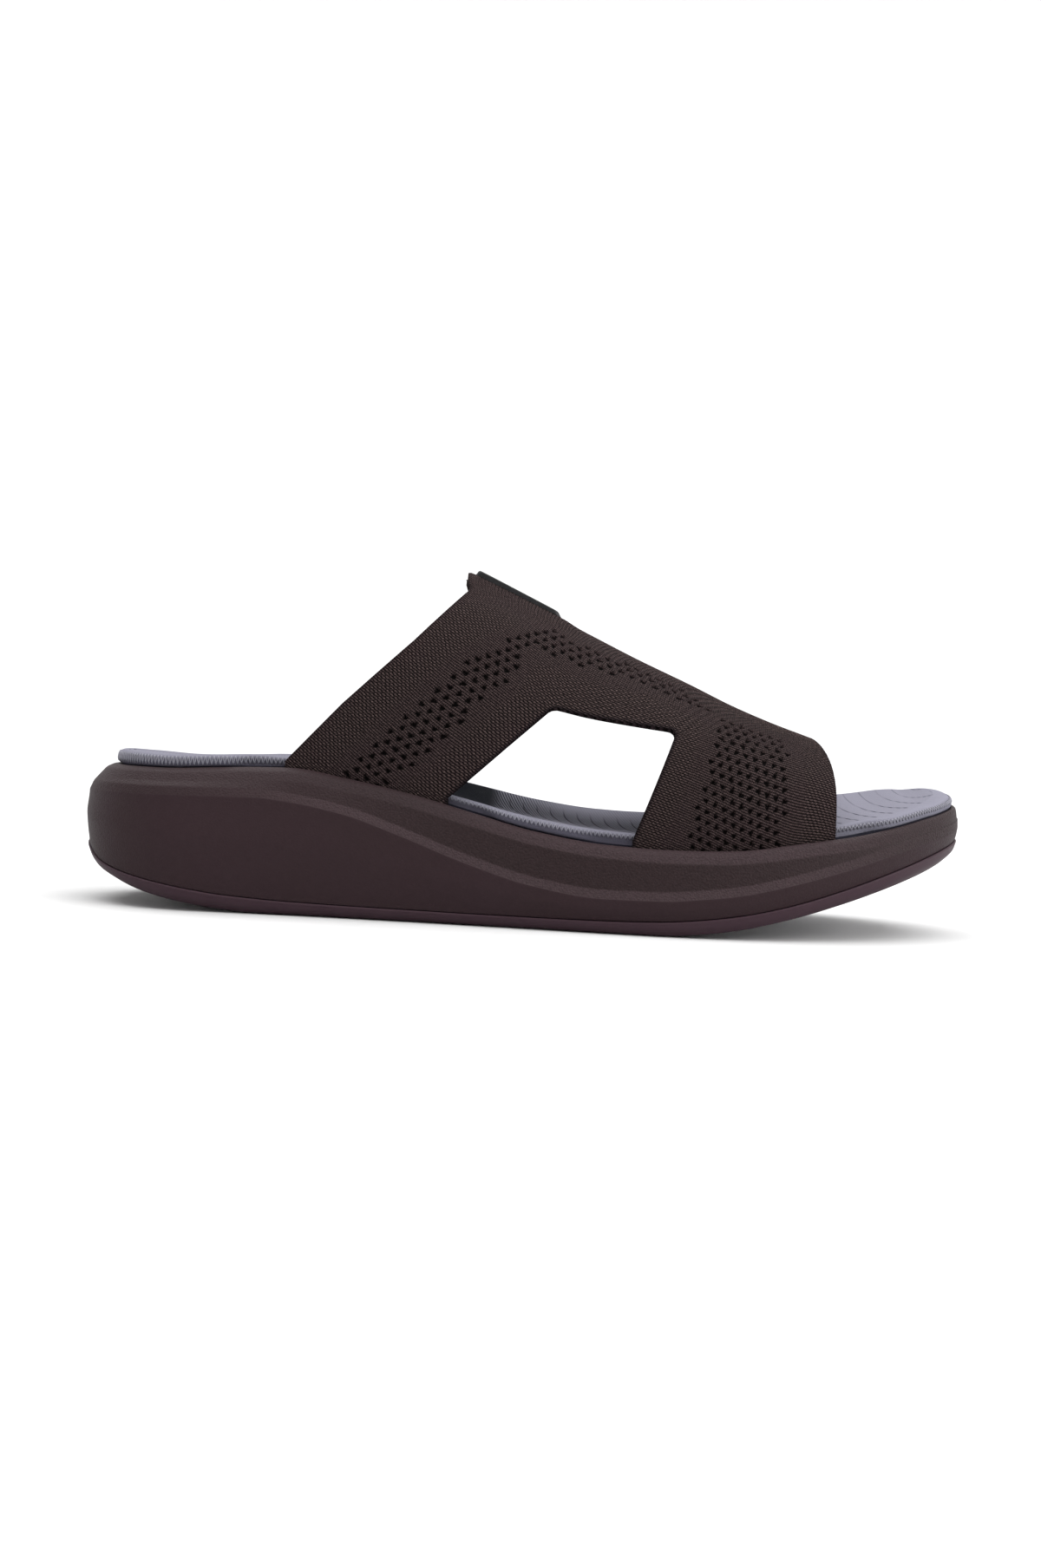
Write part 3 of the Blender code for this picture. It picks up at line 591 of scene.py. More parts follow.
def knit_material(colours):
    """Flat-knitted polyester yarn: a dull, nearly closed face, broken by short slits between the stitches,
    which are painted dark as shade. By the edges the slits are 1 mm long and laid like bricks, elsewhere they
    are a fine grid of dots, and the tops of the tufts between them are painted lighter as a highlight. The
    fibres give a soft sheen."""
    material, node = new_material(
        "knitted_polyester", colours.yarn, 0.9, Specular_IOR_Level=0.08,
        Sheen_Weight=0.04, Sheen_Roughness=0.5, Sheen_Tint=(*colours.yarn_highlight, 1.0),
    )
    # Wale and course count the stitches along and down the knit, 0.55 mm and 0.79 mm apart.
    knit = node("Attribute", attribute_name="knit")["Vector"]
    wale, course, _ = node("SeparateXYZ", knit)
    coarse, pit, edge = node("SeparateXYZ", node("Attribute", attribute_name="zone")["Vector"])

    # The stitches wander a little off their grid.
    stray = node("TexNoise", Vector=knit, Scale=0.35, Detail=2.0)["Fac"]
    stray = node("Math", "MULTIPLY_ADD", stray, 0.5, -0.25)
    course = node("Math", "ADD", course, stray)
    row = node("Math", "FLOOR", course)
    down = node("Math", "SUBTRACT", node("Math", "SUBTRACT", course, row), 0.5)
    along = node("Math", "ADD", staggered(node, wale, row), stray)
    across = node("Math", "SUBTRACT", node("Math", "FRACT", along), 0.5)
    slope = node("Math", "MULTIPLY_ADD", across, -SLIT_SLOPE, down)
    slit = node("MapRange", "SMOOTHSTEP", from_centre(node, across, slope, (0.4, 0.3)), 1.35, 0.6)

    # A furrow along each course, and a notch between the stitches in it, both painted darker as shade.
    furrow = node("MapRange", "SMOOTHSTEP", node("Math", "ABSOLUTE", down), 0.08, 0.42)
    furrow = node("Math", "SUBTRACT", 1.0, furrow)
    notch = node("Math", "MULTIPLY_ADD", wale, 0.667, node("Math", "MULTIPLY", row, 0.5))
    notch = from_half(node, node("Math", "MULTIPLY_ADD", down, 0.5, notch))
    notch = node("Math", "MULTIPLY", node("MapRange", "SMOOTHSTEP", notch, 0.24, 0.5), 0.45)
    bricks = node("Math", "MAXIMUM", slit, node("Math", "MULTIPLY_ADD", furrow, 0.72, notch))
    between = node("MapRange", "SMOOTHSTEP", from_half(node, wale), 0.1, 0.42)
    dots = node("Math", "MULTIPLY", between, node("Math", "MULTIPLY_ADD", furrow, 0.8, 0.05))
    dots = node("Math", "MULTIPLY_ADD", furrow, 0.55, dots)
    dark = node("Math", "MINIMUM", node("Mix", Factor=coarse, A=dots, B=bricks), 1.0)

    # Tufts of yarn stand up between the slits, staggered from row to row, their tops painted lighter as a
    # highlight.
    raised = node("Math", "ADD", course, 0.5)
    tuft_row = node("Math", "FLOOR", raised)
    lean = node("Math", "MULTIPLY_ADD", node("Math", "SUBTRACT", raised, tuft_row), 0.35, stray)
    tuft = wave(node, node("Math", "ADD", staggered(node, wale, tuft_row), lean))
    tuft = node("Math", "MULTIPLY", tuft, node("Math", "MULTIPLY_ADD", coarse, 0.42, 0.1))
    fuzz = node("TexNoise", Vector=knit, Scale=0.9, Detail=4.0, Roughness=0.7)["Fac"]
    fuzz = node("MapRange", "SMOOTHSTEP", fuzz, 0.34, 0.66)
    light = node("Math", "MINIMUM", node("Math", "MULTIPLY_ADD", fuzz, 0.5, tuft), 1.0)
    # Painted highlight on the tufts' tops, the edge yarn's own tint, painted shade in the slits and furrows
    # and inside the pinholes.
    tone = layered(
        node, colours.yarn, (light, colours.yarn_highlight), (edge, colours.edge_yarn),
        (dark, colours.gap), (pit, colours.pinhole_shade),
    )
    high = node("Math", "MULTIPLY_ADD", tuft, 0.5, 1.0)
    height = node("Math", "SUBTRACT", high, node("Math", "MAXIMUM", dark, pit))
    bump = node("Bump", Height=height, Strength=0.8, Distance=0.4 * MM)
    return connect(material, Base_Color=tone, Normal=bump)


def textile_material(colours):
    """Brushed polyester cover cloth, blue-grey, over foam. Printed dark under the instep and hatched where
    the print fades. A close 0.5 mm knit shows as a faint tooth, and the rolled band is greyer lower down."""
    material, node = new_material(
        "printed_cover_cloth", colours.cloth, 0.95,
        Specular_IOR_Level=0.04, Sheen_Weight=0.01, Sheen_Roughness=0.5,
    )
    place = millimetres(node)
    on_top, beside, band = node("SeparateXYZ", node("Attribute", attribute_name="marks")["Vector"])
    x, y, _ = node("SeparateXYZ", node("VectorMath", "SUBTRACT", place, tuple(ORIGIN)))
    before_toe = node("MapRange", "SMOOTHSTEP", x, 224.0, 214.0)

    # Long dashed loops at the toe, fainter towards the medial side.
    from_x, from_y = (
        node("Math", "SUBTRACT", value, centre) for value, centre in zip((x, y), LOOP_CENTRE)
    )
    loops = comb(node, from_centre(node, from_x, from_y, LOOP_PITCH), 1.0, 0.075)
    dashes = node("Math", "SINE", node("Math", "MULTIPLY", x, 4.4))
    dashes = node("Math", "MULTIPLY_ADD", node("MapRange", "SMOOTHSTEP", dashes, -0.5, 0.3), 0.6, 0.4)
    dashes = node("Math", "MULTIPLY", dashes, node("MapRange", "SMOOTHSTEP", x, 222.0, 226.0))
    loops = node("Math", "MULTIPLY", loops, dashes)
    lateral = node("Math", "MULTIPLY_ADD", node("MapRange", "SMOOTHSTEP", y, 15.0, -22.0), 0.75, 0.35)
    loops = node("Math", "MULTIPLY", loops, lateral)

    # Bows across the waist, bent back towards the lateral edge.
    near = node("Math", "MAXIMUM", node("Math", "SUBTRACT", 8.0, y), 0.0)
    bowed = node("Math", "MULTIPLY_ADD", node("Math", "MULTIPLY", near, near), -0.0034, x)
    bows = comb(node, bowed, BOW_PITCH, 0.34)
    bows = node("Math", "MULTIPLY", bows, node("MapRange", "SMOOTHSTEP", x, 124.0, 129.0))
    lateral = node("MapRange", "SMOOTHSTEP", y, 25.0, -5.0)
    bows = node("Math", "MULTIPLY", bows, node("Math", "MULTIPLY", before_toe, lateral))
    pressed = node("Math", "MULTIPLY", node("Math", "MAXIMUM", loops, bows), on_top)
    # Beside the top: the band's stitched dashes, and the painted shade where the band meets the rim.
    groove = node("Math", "MAXIMUM", beside, pressed)

    # The dark print, and the fine slanted hatch that it ends in and that comes back faintly.
    hatch = comb(node, node("Math", "MULTIPLY_ADD", y, 0.09, x), HATCH_PITCH, 0.3)
    fading = node("Math", "MULTIPLY_ADD", stretch(node, x, *HATCHED), 0.95, 0.08)
    strength = node("Math", "MULTIPLY_ADD", stretch(node, x, *FAINTLY_HATCHED), 0.15, fading)
    hatch = node("Math", "MULTIPLY", node("Math", "MULTIPLY", hatch, strength), before_toe)
    dark = node("Math", "MAXIMUM", stretch(node, x, *PRINTED), hatch)
    dark = node("Math", "MULTIPLY", dark, on_top)

    soft = node("TexNoise", Vector=place, Scale=1.6, Detail=3.0)["Fac"]
    behind = node("Math", "MULTIPLY_ADD", node("MapRange", "SMOOTHSTEP", x, 232.0, 215.0), 0.75, 0.25)
    low = node("Math", "MULTIPLY", node("MapRange", "SMOOTHSTEP", band, 0.02, 0.5), behind)
    tone = layered(
        node, colours.cloth_shade, (soft, colours.cloth), (low, colours.cloth_low),
        (groove, colours.cloth_line), (dark, colours.cloth_dark),
    )
    weave = node("TexVoronoi", Vector=place, Scale=2.0, Randomness=0.35)["Distance"]
    sunk = node("Math", "MULTIPLY_ADD", groove, 2.0, weave)
    bump = node("Bump", Height=sunk, Strength=0.5, Distance=0.15 * MM, invert=True)
    return connect(material, Base_Color=tone, Normal=bump)


def thread_material(colours):
    """Twisted polyester sewing thread, pale, with the sheen of its twist."""
    material, node = new_material("sewing_thread", colours.thread, 0.55, Sheen_Weight=0.2)
    twist = node("TexWave", Vector=millimetres(node), Scale=1.1, Distortion=2.0)["Fac"]
    tone = layered(node, colours.thread_shade, (twist, colours.thread))
    bump = node("Bump", Height=twist, Strength=0.3, Distance=0.05 * MM)
    return connect(material, Base_Color=tone, Normal=bump)


def plate_material(colours):
    """Injection-moulded TPU with a fine satin texture, which spreads its highlight."""
    material, node = new_material("satin_tpu", colours.plate, 0.38, Specular_IOR_Level=0.28)
    grit = node("TexNoise", Vector=millimetres(node), Scale=6.0, Detail=2.0)["Fac"]
    rough = node("MapRange", Value=grit, To_Min=0.32, To_Max=0.48)
    bump = node("Bump", Height=grit, Strength=0.2, Distance=0.03 * MM)
    return connect(material, Roughness=rough, Normal=bump)


def floor_material(colours):
    """Matt painted studio board, whose faint tooth keeps it from shining."""
    material, node = new_material("painted_board", colours.floor, 0.9, Specular_IOR_Level=0.2)
    tooth = node("TexNoise", Vector=millimetres(node), Scale=0.5, Detail=2.0)["Fac"]
    return connect(material, Normal=node("Bump", Height=tooth, Strength=0.05, Distance=0.1 * MM))


# --- sole ----------------------------------------------------------------------------------------------
SWELL = Table("rise swell", [(0.0, 0.0), (0.3, 0.62), (0.62, 1.0), (1.0, 1.0)])


def build_midsole(material):
    """The foam body: bellied lower panel, ledge, upper panel, bevelled rim and a well for the insole."""
    x, share = RING.x, RING.medial_share
    rim = shown_rim(x, share)
    ledge_z = SIDE("ledge", x) + 0.5 * SIDE("bank", x) * share
    parting = SIDE("parting", x) + GAP
    tuck = arch_tuck(x, share)
    out = {name: FLARE(name, x) for name in ("parting", "belly", "ledge", "panel", "shoulder")}
    corners = []
    for rise in np.linspace(0, 1, 19):
        swell = float(SWELL("swell", rise))
        turn = smoothstep(rise, 0.55, 1.0)
        reach = out["parting"] + swell * (out["belly"] - out["parting"])
        reach = reach + turn * (out["ledge"] - reach) - TUCK_AT_PARTING * tuck * (1 - rise)
        corners.append((reach, parting + rise * (ledge_z - parting), 0.35 if rise == 1 else 0))
    low_panel = len(corners)
    corners += [
        (out["panel"], ledge_z + LEDGE_RISE, 0.4),
        (out["shoulder"], rim - SHOULDER, 0.45),
        (0.52 * out["shoulder"], rim - 0.3 * SHOULDER, 0.8),
        (0.0, rim, 0.7),
        (-LIP, rim - 0.1, 0.5),
        (-LIP - 0.1, rim - WELL_DEPTH, 0),
    ]
    loft = Loft()
    loft.add_profile(corners)
    loft.skin()
    loft.fill(loft.loops[0], 8, as_is)
    loft.fill(loft.loops[-1], 8, dished)
    piece = loft.build("midsole_foam", material, "midsole", "midsole_eva")
    upper_panel, band_highlight = np.zeros(loft.count), np.zeros(loft.count)
    for loop in loft.loops[low_panel + 2 :]:
        upper_panel[loop] = 0.45 + 0.55 * smoothstep(x, 40, 120)
    # Loops counted from the ledge. The step between the panels and the rim's bevel face up and are painted
    # lighter as a highlight, less so at the toe and hardly at the heel.
    step = {1: 0.3, 2: 1, 3: 1, 4: 1, 5: 1, 6: 0.4}
    bevel = {12: 0.3, 13: 0.9, **{number: 1 for number in range(14, 24)}}
    toe = 1 - 0.75 * smoothstep(x, 215, 262)
    for lit_bands, heel in ((step, smoothstep(x, 25, 85)), (bevel, 0.1 + 0.9 * smoothstep(x, 80, 150))):
        for number, amount in lit_bands.items():
            band_highlight[loft.loops[low_panel + number]] = amount * toe * heel
    set_attribute(piece, "panel", np.column_stack([upper_panel, band_highlight, band_highlight]))


def groove_line(middle, pieces=24):
    """Centre line of one tread groove, from border to border."""
    inset = float(FLARE("ground", middle)) - GROOVE_MARGIN
    start = edge_y(middle, LATERAL, inset)
    end = edge_y(middle, MEDIAL, inset - arch_tuck(middle, 1.0))
    share = np.linspace(0, 1, pieces + 1)
    x = middle - GROOVE_BOW / 2 + GROOVE_BOW * np.sin(math.pi * share)
    return np.column_stack([x, start + (end - start) * share])


def cut_tread(piece):
    """Bowed channels across the underside, inside a solid border."""
    # A channel's section: its sides lean in a little, and it starts well below the ground.
    sides = ((-0.5, -4.0), (0.5, -4.0), (0.42, GROOVE_DEPTH), (-0.42, GROOVE_DEPTH))
    shape = bmesh.new()
    for middle in np.arange(GROOVE_FIRST, GROOVE_LAST, GROOVE_PITCH):
        before = None
        for x, y in groove_line(middle):
            ground = float(SIDE("ground", x))
            ring = [
                shape.verts.new((Vector((x + across * GROOVE_WIDTH, y, ground + up)) + Vector(ORIGIN)) * MM)
                for across, up in sides
            ]
            if before:
                for i in range(4):
                    k = (i + 1) % 4
                    shape.faces.new((before[i], before[k], ring[k], ring[i]))
            else:
                shape.faces.new(ring)
            before = ring
        shape.faces.new(before[::-1])
    bmesh.ops.recalc_face_normals(shape, faces=shape.faces)
    mesh = bpy.data.meshes.new("tread_channels")
    shape.to_mesh(mesh)
    shape.free()
    cutter = bpy.data.objects.new("tread_channels", mesh)
    bpy.context.scene.collection.objects.link(cutter)
    cut = piece.modifiers.new("tread", "BOOLEAN")
    cut.operation, cut.solver, cut.object = "DIFFERENCE", "EXACT", cutter
    apply_modifiers(piece)
    bpy.data.objects.remove(cutter, do_unlink=True)


def apply_modifiers(piece):
    """Keeps the evaluated mesh as the piece's own."""
    graph = bpy.context.evaluated_depsgraph_get()
    mesh = bpy.data.meshes.new_from_object(piece.evaluated_get(graph))
    old = piece.data
    piece.modifiers.clear()
    piece.data = mesh
    bpy.data.meshes.remove(old)


def build_outsole(material):
    """The rubber sole under the foam, with its own side wall and tread."""
    x = RING.x
    ground, parting = SIDE("ground", x), SIDE("parting", x)
    tuck = arch_tuck(x, RING.medial_share)
    low = FLARE("ground", x) - tuck
    high = FLARE("parting", x) + OUTSOLE_PROUD - TUCK_AT_PARTING * tuck
    loft = Loft()
    loft.add_profile(
        [
            (low - 1.2, ground, 0),
            (low, ground, 0.8),
            (low + 0.75 * (high - low), ground + 0.4 * (parting - ground), 1.0),
            (high, parting - GAP, 0.25),
            (high - 0.4, parting, 0),
        ]
    )
    loft.skin()
    loft.fill(loft.loops[0], 8, as_is)
    loft.fill(loft.loops[-1], 8, as_is)
    piece = loft.build("outsole_rubber", material, "outsole", "outsole_rubber", 0)
    cut_tread(piece)
    piece.data.shade_smooth()
    piece.data.set_sharp_from_angle(angle=math.radians(35))


# --- insole --------------------------------------------------------------------------------------------
def strap_feet(x, side):
    """1 where a strap passes between the insole and the rim, 0 elsewhere."""
    rear = (COLLAR[0][0], WINDOW_REAR[side][0][0])
    front = (WINDOW_FRONT[side][0][0], TOE_EDGE[0 if side == LATERAL else 2])
    share = 0.0
    for start, end in (rear, front):
        before = smoothstep(x, start - 2 * PINCH_RUN, start - PINCH_RUN)
        after = smoothstep(-x, -end - 2 * PINCH_RUN, -end - PINCH_RUN)
        share = np.maximum(share, before * after)
    return share


# The toe end is domed: flatter before it, full at its inner corner.
DOME = Table(
    "x rise",
    [
        (222, 0), (244, -0.1), (253, -0.4), (260, -0.35), (266, -0.55),
        (270, -0.8), (274, -0.2), (278, 0.9), (280, 1.15), (282, 0.95),
    ],
)


def insole_edge():
    """The insole's outer edge, the rim's height beside it and its own top, round the outline."""
    x, share = RING.x, RING.medial_share
    pinch = np.where(RING.side == LATERAL, strap_feet(x, LATERAL), strap_feet(x, MEDIAL))
    edge = INSET - STRAP_ROOM * pinch
    raised = DOME("rise", x) * np.sqrt(share) + 0.5 * spread_out(x, 50, 62)
    raised = raised - 0.6 * smoothstep(x, 222, 245) * spread_out(x, 266, 278) * (1 - share)
    return edge, shown_rim(x, share), rim_z(x, share) + SIDE("pad", x) + raised


def band_swell(edge):
    """How far the rolled band stands out: nothing where a strap passes, little at the toe's end."""
    free = 1 + (edge - INSET) / STRAP_ROOM
    return BAND_SWELL * free * (1 - 0.75 * smoothstep(RING.x, 235, 275))


def build_insole(material):
    """The padded footbed. Its rolled band swells out over the rim, and keeps in where a strap passes it. At
    the toe the roll is wider and falls away in one round."""
    edge, rim, top = insole_edge()
    pad = top - rim
    seat = rim - WELL_DEPTH + GAP
    swell = band_swell(edge)
    nose = smoothstep(RING.x, *NOSE)
    loft = Loft()
    loft.add_profile(
        [
            (edge - 0.8, seat, 0),
            (edge, seat + 0.9, 0.6),
            (edge + 0.05 + 0.3 * nose, rim + 0.12, 0.1),
            (edge + 0.75 * swell + 0.5 * nose, rim + 0.12 * pad, 0.5),
            (edge + swell + 0.5 * nose, rim + (0.45 - 0.05 * nose) * pad, 0.9),
            (edge + 0.6 * swell - 0.3 * nose, rim + (0.84 - 0.06 * nose) * pad, 0.9),
            (edge - 0.5 - 1.1 * nose, top + 0.05 - 0.15 * nose, 0.8),
            (edge - 1.7 - 1.7 * nose, top + 0.05, 0.6),
            (edge - 2.4 - 2.1 * nose, top - 0.22 * (1 - nose), 0.3),
            (edge - 3.0 - 2.1 * nose, top - 0.08 * (1 - nose), 0.4),
            (edge - 3.4 - 2.1 * nose, top - 0.05, 0),
        ]
    )
    loft.skin()
    loft.fill(loft.loops[0], 8, dished)
    rows = loft.fill(loft.loops[-1], 60, dished)
    points = np.concatenate(loft.points)
    on_top, on_band, dark = (np.zeros(len(points)) for _ in range(3))
    on_top[rows.ravel()] = 1
    on_band[np.concatenate(loft.loops[1:-1])] = 1
    # The furrow inside the band is stitched in dashes, and a line of painted shade darkens the band where it
    # meets the rim.
    furrow = np.concatenate(loft.loops[-11:-6])
    along = points[furrow, 0]
    dark[furrow] = 0.8 * (0.5 + 0.5 * np.sign(np.sin(along * 4.0))) * spread_out(along, 222, 240)
    for loop in loft.loops[1:-11]:
        dark[loop] = 0.9 * spread_out(points[loop, 2] - rim, 0.05, 0.3)
    piece = loft.build("insole_cover", material, "insole", "insole_textile", 60)
    # How far down the band a point lies, as a share of its height.
    lateral = slice(0, RING.steps + 1)
    below = np.interp(points[:, 0], RING.x[lateral], top[lateral]) - points[:, 2]
    down = np.clip(below / BAND_HEIGHT, 0, 1)
    set_attribute(piece, "marks", np.column_stack([on_top, dark, on_band * down]))


def tubes(starts, ends, normals, radius, bulge, sides=5):
    """Short arched stitches as closed tubes: points and faces."""
    axis = ends - starts
    length = np.linalg.norm(axis, axis=1, keepdims=True)
    axis = axis / length
    across = np.cross(axis, normals)
    across /= np.linalg.norm(across, axis=1, keepdims=True)
    lift = np.cross(across, axis)
    points = []
    # Share of the length, thickness and rise.
    stations = ((0.0, 0.55, -0.1), (0.25, 1.0, 0.75), (0.5, 1.0, 1.0), (0.75, 1.0, 0.75), (1.0, 0.55, -0.1))
    for share, thick, rise in stations:
        middle = starts + axis * length * share + lift * bulge * rise
        for k in range(sides):
            turn = 2 * math.pi * k / sides
            points.append(middle + (across * math.cos(turn) + lift * math.sin(turn)) * radius * thick)
    points = np.stack(points, 1)
    base = (np.arange(len(starts)) * points.shape[1])[:, None]
    last = (len(stations) - 1) * sides
    quads = []
    for low in range(0, last, sides):
        for k in range(sides):
            a, b = low + k, low + (k + 1) % sides
            quads.append(base + np.array([a, b, b + sides, a + sides]))
    caps = [base + np.arange(sides)[::-1], base + last + np.arange(sides)]
    return points.reshape(-1, 3), [np.concatenate(quads), np.concatenate(caps)]


def build_edge_stitching(material, pitch):
    """Zigzag stitches over the insole's rolled band: its whole height at the heel, else its upper half."""
    edge, rim, top = insole_edge()
    pad = top - rim
    swell = band_swell(edge)
    nose = smoothstep(RING.x, *NOSE)
    heel = spread_out(RING.x, 62, 100)
    toe = smoothstep(RING.x, 222, 245)
    low_height = 0.5 - 0.3 * heel - 0.12 * toe
    low = RING.loop(edge + (0.98 - 0.1 * heel) * swell + 0.45 * nose + 0.06, rim + low_height * pad)
    high = RING.loop(edge + 0.5 * swell + 0.12 * toe - 0.4 * nose + 0.1, rim + (0.9 - 0.1 * toe) * pad)
    closed_low, closed_high = np.vstack([low, low[:1]]), np.vstack([high, high[:1]])
    run = np.concatenate([[0], np.cumsum(np.linalg.norm(np.diff(closed_low, axis=0), axis=1))])
    count = int(run[-1] / pitch)
    at_low = np.linspace(0, run[-1], count, endpoint=False)
    at_high = at_low + run[-1] / count / 2

    def read(line, at):
        return np.column_stack([np.interp(at, run, line[:, i]) for i in range(3)])

    lows, highs = read(closed_low, at_low), read(closed_high, at_high)
    out = np.vstack([np.column_stack([RING.nx, RING.ny, RING.nx * 0]), [[RING.nx[0], RING.ny[0], 0]]])
    normals = read(out, at_low) + np.array([0, 0, 0.5])
    up, up_faces = tubes(lows, highs, normals, *THREAD)
    down, down_faces = tubes(highs, np.roll(lows, -1, axis=0), normals, *THREAD)
    faces = [np.concatenate([a, b + len(up)]) for a, b in zip(up_faces, down_faces)]
    points = np.vstack([up, down])
    face_outwards(new_piece("insole_edge_stitches", points, faces, material, None, 0))


# --- upper ---------------------------------------------------------------------------------------------
COARSE = 4  # the inner face has one cell for this many of the outer
STRIPS = (136, 100, 148)  # cells from the collar to the windows, across them, and on to the toe edge
PARTS = (128, 116, 8)  # cells from the ridge to the windows' top, down beside them, and in the foot
REAR_WALES, WINDOW_WALES = 76.0, 51.0
WALE = 0.55
COURSE = 0.79
UPRIGHT = 2.0  # the sides stand upright up to this height over the rim
CORNER_RADIUS = (1.8, 2.7)  # rear and front of the windows
HOLE_PHASE = (4.9, 3.9)  # a pinhole's wale and course
HOLE_EVERY = (6, 8)  # wales and courses
HOLE_PITCH = (3.5, 6.6)  # about how many millimetres that is
HOLE_DEPTH = 0.9
STRIP_MM = (52.0, 38.0, 54.0)  # about how long the strips are at mid-height


def middle_y(x):
    """The line half-way between the two sides of the upper's foot."""
    return (edge_y(x, LATERAL, INSET) + edge_y(x, MEDIAL, INSET)) / 2


class Section:
    """The upper's outer line over one station and side, from the ridge down into the midsole's well."""

    def __init__(self, x, side):
        foot_y = edge_y(x, side, INSET)
        rim = float(rim_z(x, read_edge(RING.medial_share, x, side, INSET)))
        self.spring = rim + UPRIGHT
        self.foot = rim - WELL_DEPTH + GAP
        top = float(UPPER("ridge", x))
        power = 2 / float(UPPER("round", x))
        angle = np.linspace(0, math.pi / 2, 97)
        rise, reach = np.cos(angle) ** power, np.sin(angle) ** power
        middle = middle_y(x)
        self.y = middle + (foot_y - middle) * reach + float(UPPER("lean", x)) * rise**1.5
        self.z = self.spring + (top - self.spring) * rise
        self.z = self.z + self.badge_seat(x, np.abs(self.y - self.y[0]))
        self.arc = np.concatenate([[0], np.cumsum(np.hypot(np.diff(self.y), np.diff(self.z)))])

    @staticmethod
    def badge_seat(x, away):
        """Lift that keeps the knit nearly flat across the badge."""
        along = smoothstep(x, BADGE_START - BADGE_HALF, BADGE_START)
        along = along * smoothstep(-x, -BADGE_END - BADGE_HALF, -BADGE_END)
        under = np.minimum(away / BADGE_HALF, 1) ** 2
        return BADGE_SEAT * along * under * spread_out(away, BADGE_HALF, 2 * BADGE_HALF)


def on_line(line, z):
    """x of a border at height z."""
    x, height = np.transpose(line)
    return np.interp(z, height, x)


class Flank:
    """One side of the upper: sections read against x and the share of the way down from the ridge."""

    def __init__(self, side):
        self.side = side
        self.x = np.linspace(50, 245, 313)
        self.shares = np.linspace(0, 1, 129)
        sections = [Section(x, side) for x in self.x]
        self.y = np.array([np.interp(self.shares * s.arc[-1], s.arc, s.y) for s in sections])
        self.z = np.array([np.interp(self.shares * s.arc[-1], s.arc, s.z) for s in sections])
        self.arc = np.array([s.arc[-1] for s in sections])
        self.spring = np.array([s.spring for s in sections])
        self.foot = np.array([s.foot for s in sections])
        self.corners = [self.share_at(*line[side][1]) for line in (WINDOW_REAR, WINDOW_FRONT)]

    def at(self, x, share):
        """Points of the sheet. A share past 1 goes straight down to the foot."""
        x, share = np.broadcast_arrays(np.asarray(x, float), np.asarray(share, float))
        u = np.clip((x - self.x[0]) / (self.x[1] - self.x[0]), 0, len(self.x) - 1.001)
        s = np.minimum(np.clip(share, 0, 1) * (len(self.shares) - 1), len(self.shares) - 1.001)
        i, k = u.astype(int), s.astype(int)
        u, s = u - i, s - k

        def read(rows):
            near = rows[i, k] * (1 - u) + rows[i + 1, k] * u
            far = rows[i, k + 1] * (1 - u) + rows[i + 1, k + 1] * u
            return near * (1 - s) + far * s

        spring, foot = np.interp(x, self.x, self.spring), np.interp(x, self.x, self.foot)
        z = np.where(share > 1, spring + (share - 1) * (foot - spring), read(self.z))
        return np.stack([x, read(self.y), z], -1)

    def share_at(self, x, z):
        section = Section(x, self.side)
        return float(np.interp(-z, -section.z, section.arc)) / section.arc[-1]

    def follow(self, line, share):
        """x where the sheet, at these shares, meets a border that is straight in side view."""
        x = np.full(np.shape(share), float(line[0][0]))
        for _ in range(40):
            x = 0.5 * x + 0.5 * on_line(line, self.at(x, share)[..., 2])
        return x

    def borders(self, part, down):
        """x and share at the collar, the window's rear and front, and the toe edge, for one part's rows."""
        rear, front = self.corners
        if part == 0:
            rear_share, front_share = down * rear, down * front
        elif part == 1:
            rear_share, front_share = rear + down * (1 - rear), front + down * (1 - front)
        else:
            rear_share = front_share = 1 + down
        collar = self.follow(COLLAR, np.minimum(rear_share, 1))
        window_rear, window_front = WINDOW_REAR[self.side], WINDOW_FRONT[self.side]
        if part == 0:
            # The collar's middle is straight, and the window's borders run on up to the ridge.
            away = np.abs(self.at(np.full(len(down), TAB_X), rear_share)[:, 1] - self.at(TAB_X, 0.0)[1])
            collar += (TAB_X - collar) * spread_out(away, TAB_HALF - 1.0, TAB_HALF + 4.0)
            back = WINDOW_RIDGE[0] + down * (window_rear[1][0] - WINDOW_RIDGE[0])
            fore = WINDOW_RIDGE[1] + down * (window_front[1][0] - WINDOW_RIDGE[1])
        else:
            back = self.follow(window_rear, np.minimum(rear_share, 1))
            fore = self.follow(window_front, np.minimum(front_share, 1))
        foot = TOE_EDGE[0] if self.side == LATERAL else TOE_EDGE[2]
        toe = TOE_EDGE[1] + (foot - TOE_EDGE[1]) * smoothstep(front_share, *TOE_SWING)
        shares = np.stack([rear_share, rear_share, front_share, front_share])
        return np.stack([collar, back, fore, toe]), shares

    def build(self):
        """Grids (columns, rows) of points and of the arc length down from the ridge."""
        borders = [self.borders(part, shares) for part, shares in enumerate(split(PARTS))]
        x, share = (np.concatenate([b[i] for b in borders], axis=1) for i in (0, 1))
        strips = [
            [(1 - g[:, None]) * table[strip] + g[:, None] * table[strip + 1] for table in (x, share)]
            for strip, g in enumerate(split(STRIPS))
        ]
        x, share = (np.concatenate([s[i] for s in strips]) for i in (0, 1))
        points = self.at(x, share)
        arc = np.interp(x, self.x, self.arc) * np.minimum(share, 1)
        spring, foot = np.interp(x, self.x, self.spring), np.interp(x, self.x, self.foot)
        arc += np.maximum(share - 1, 0) * (spring - foot)
        return points, arc


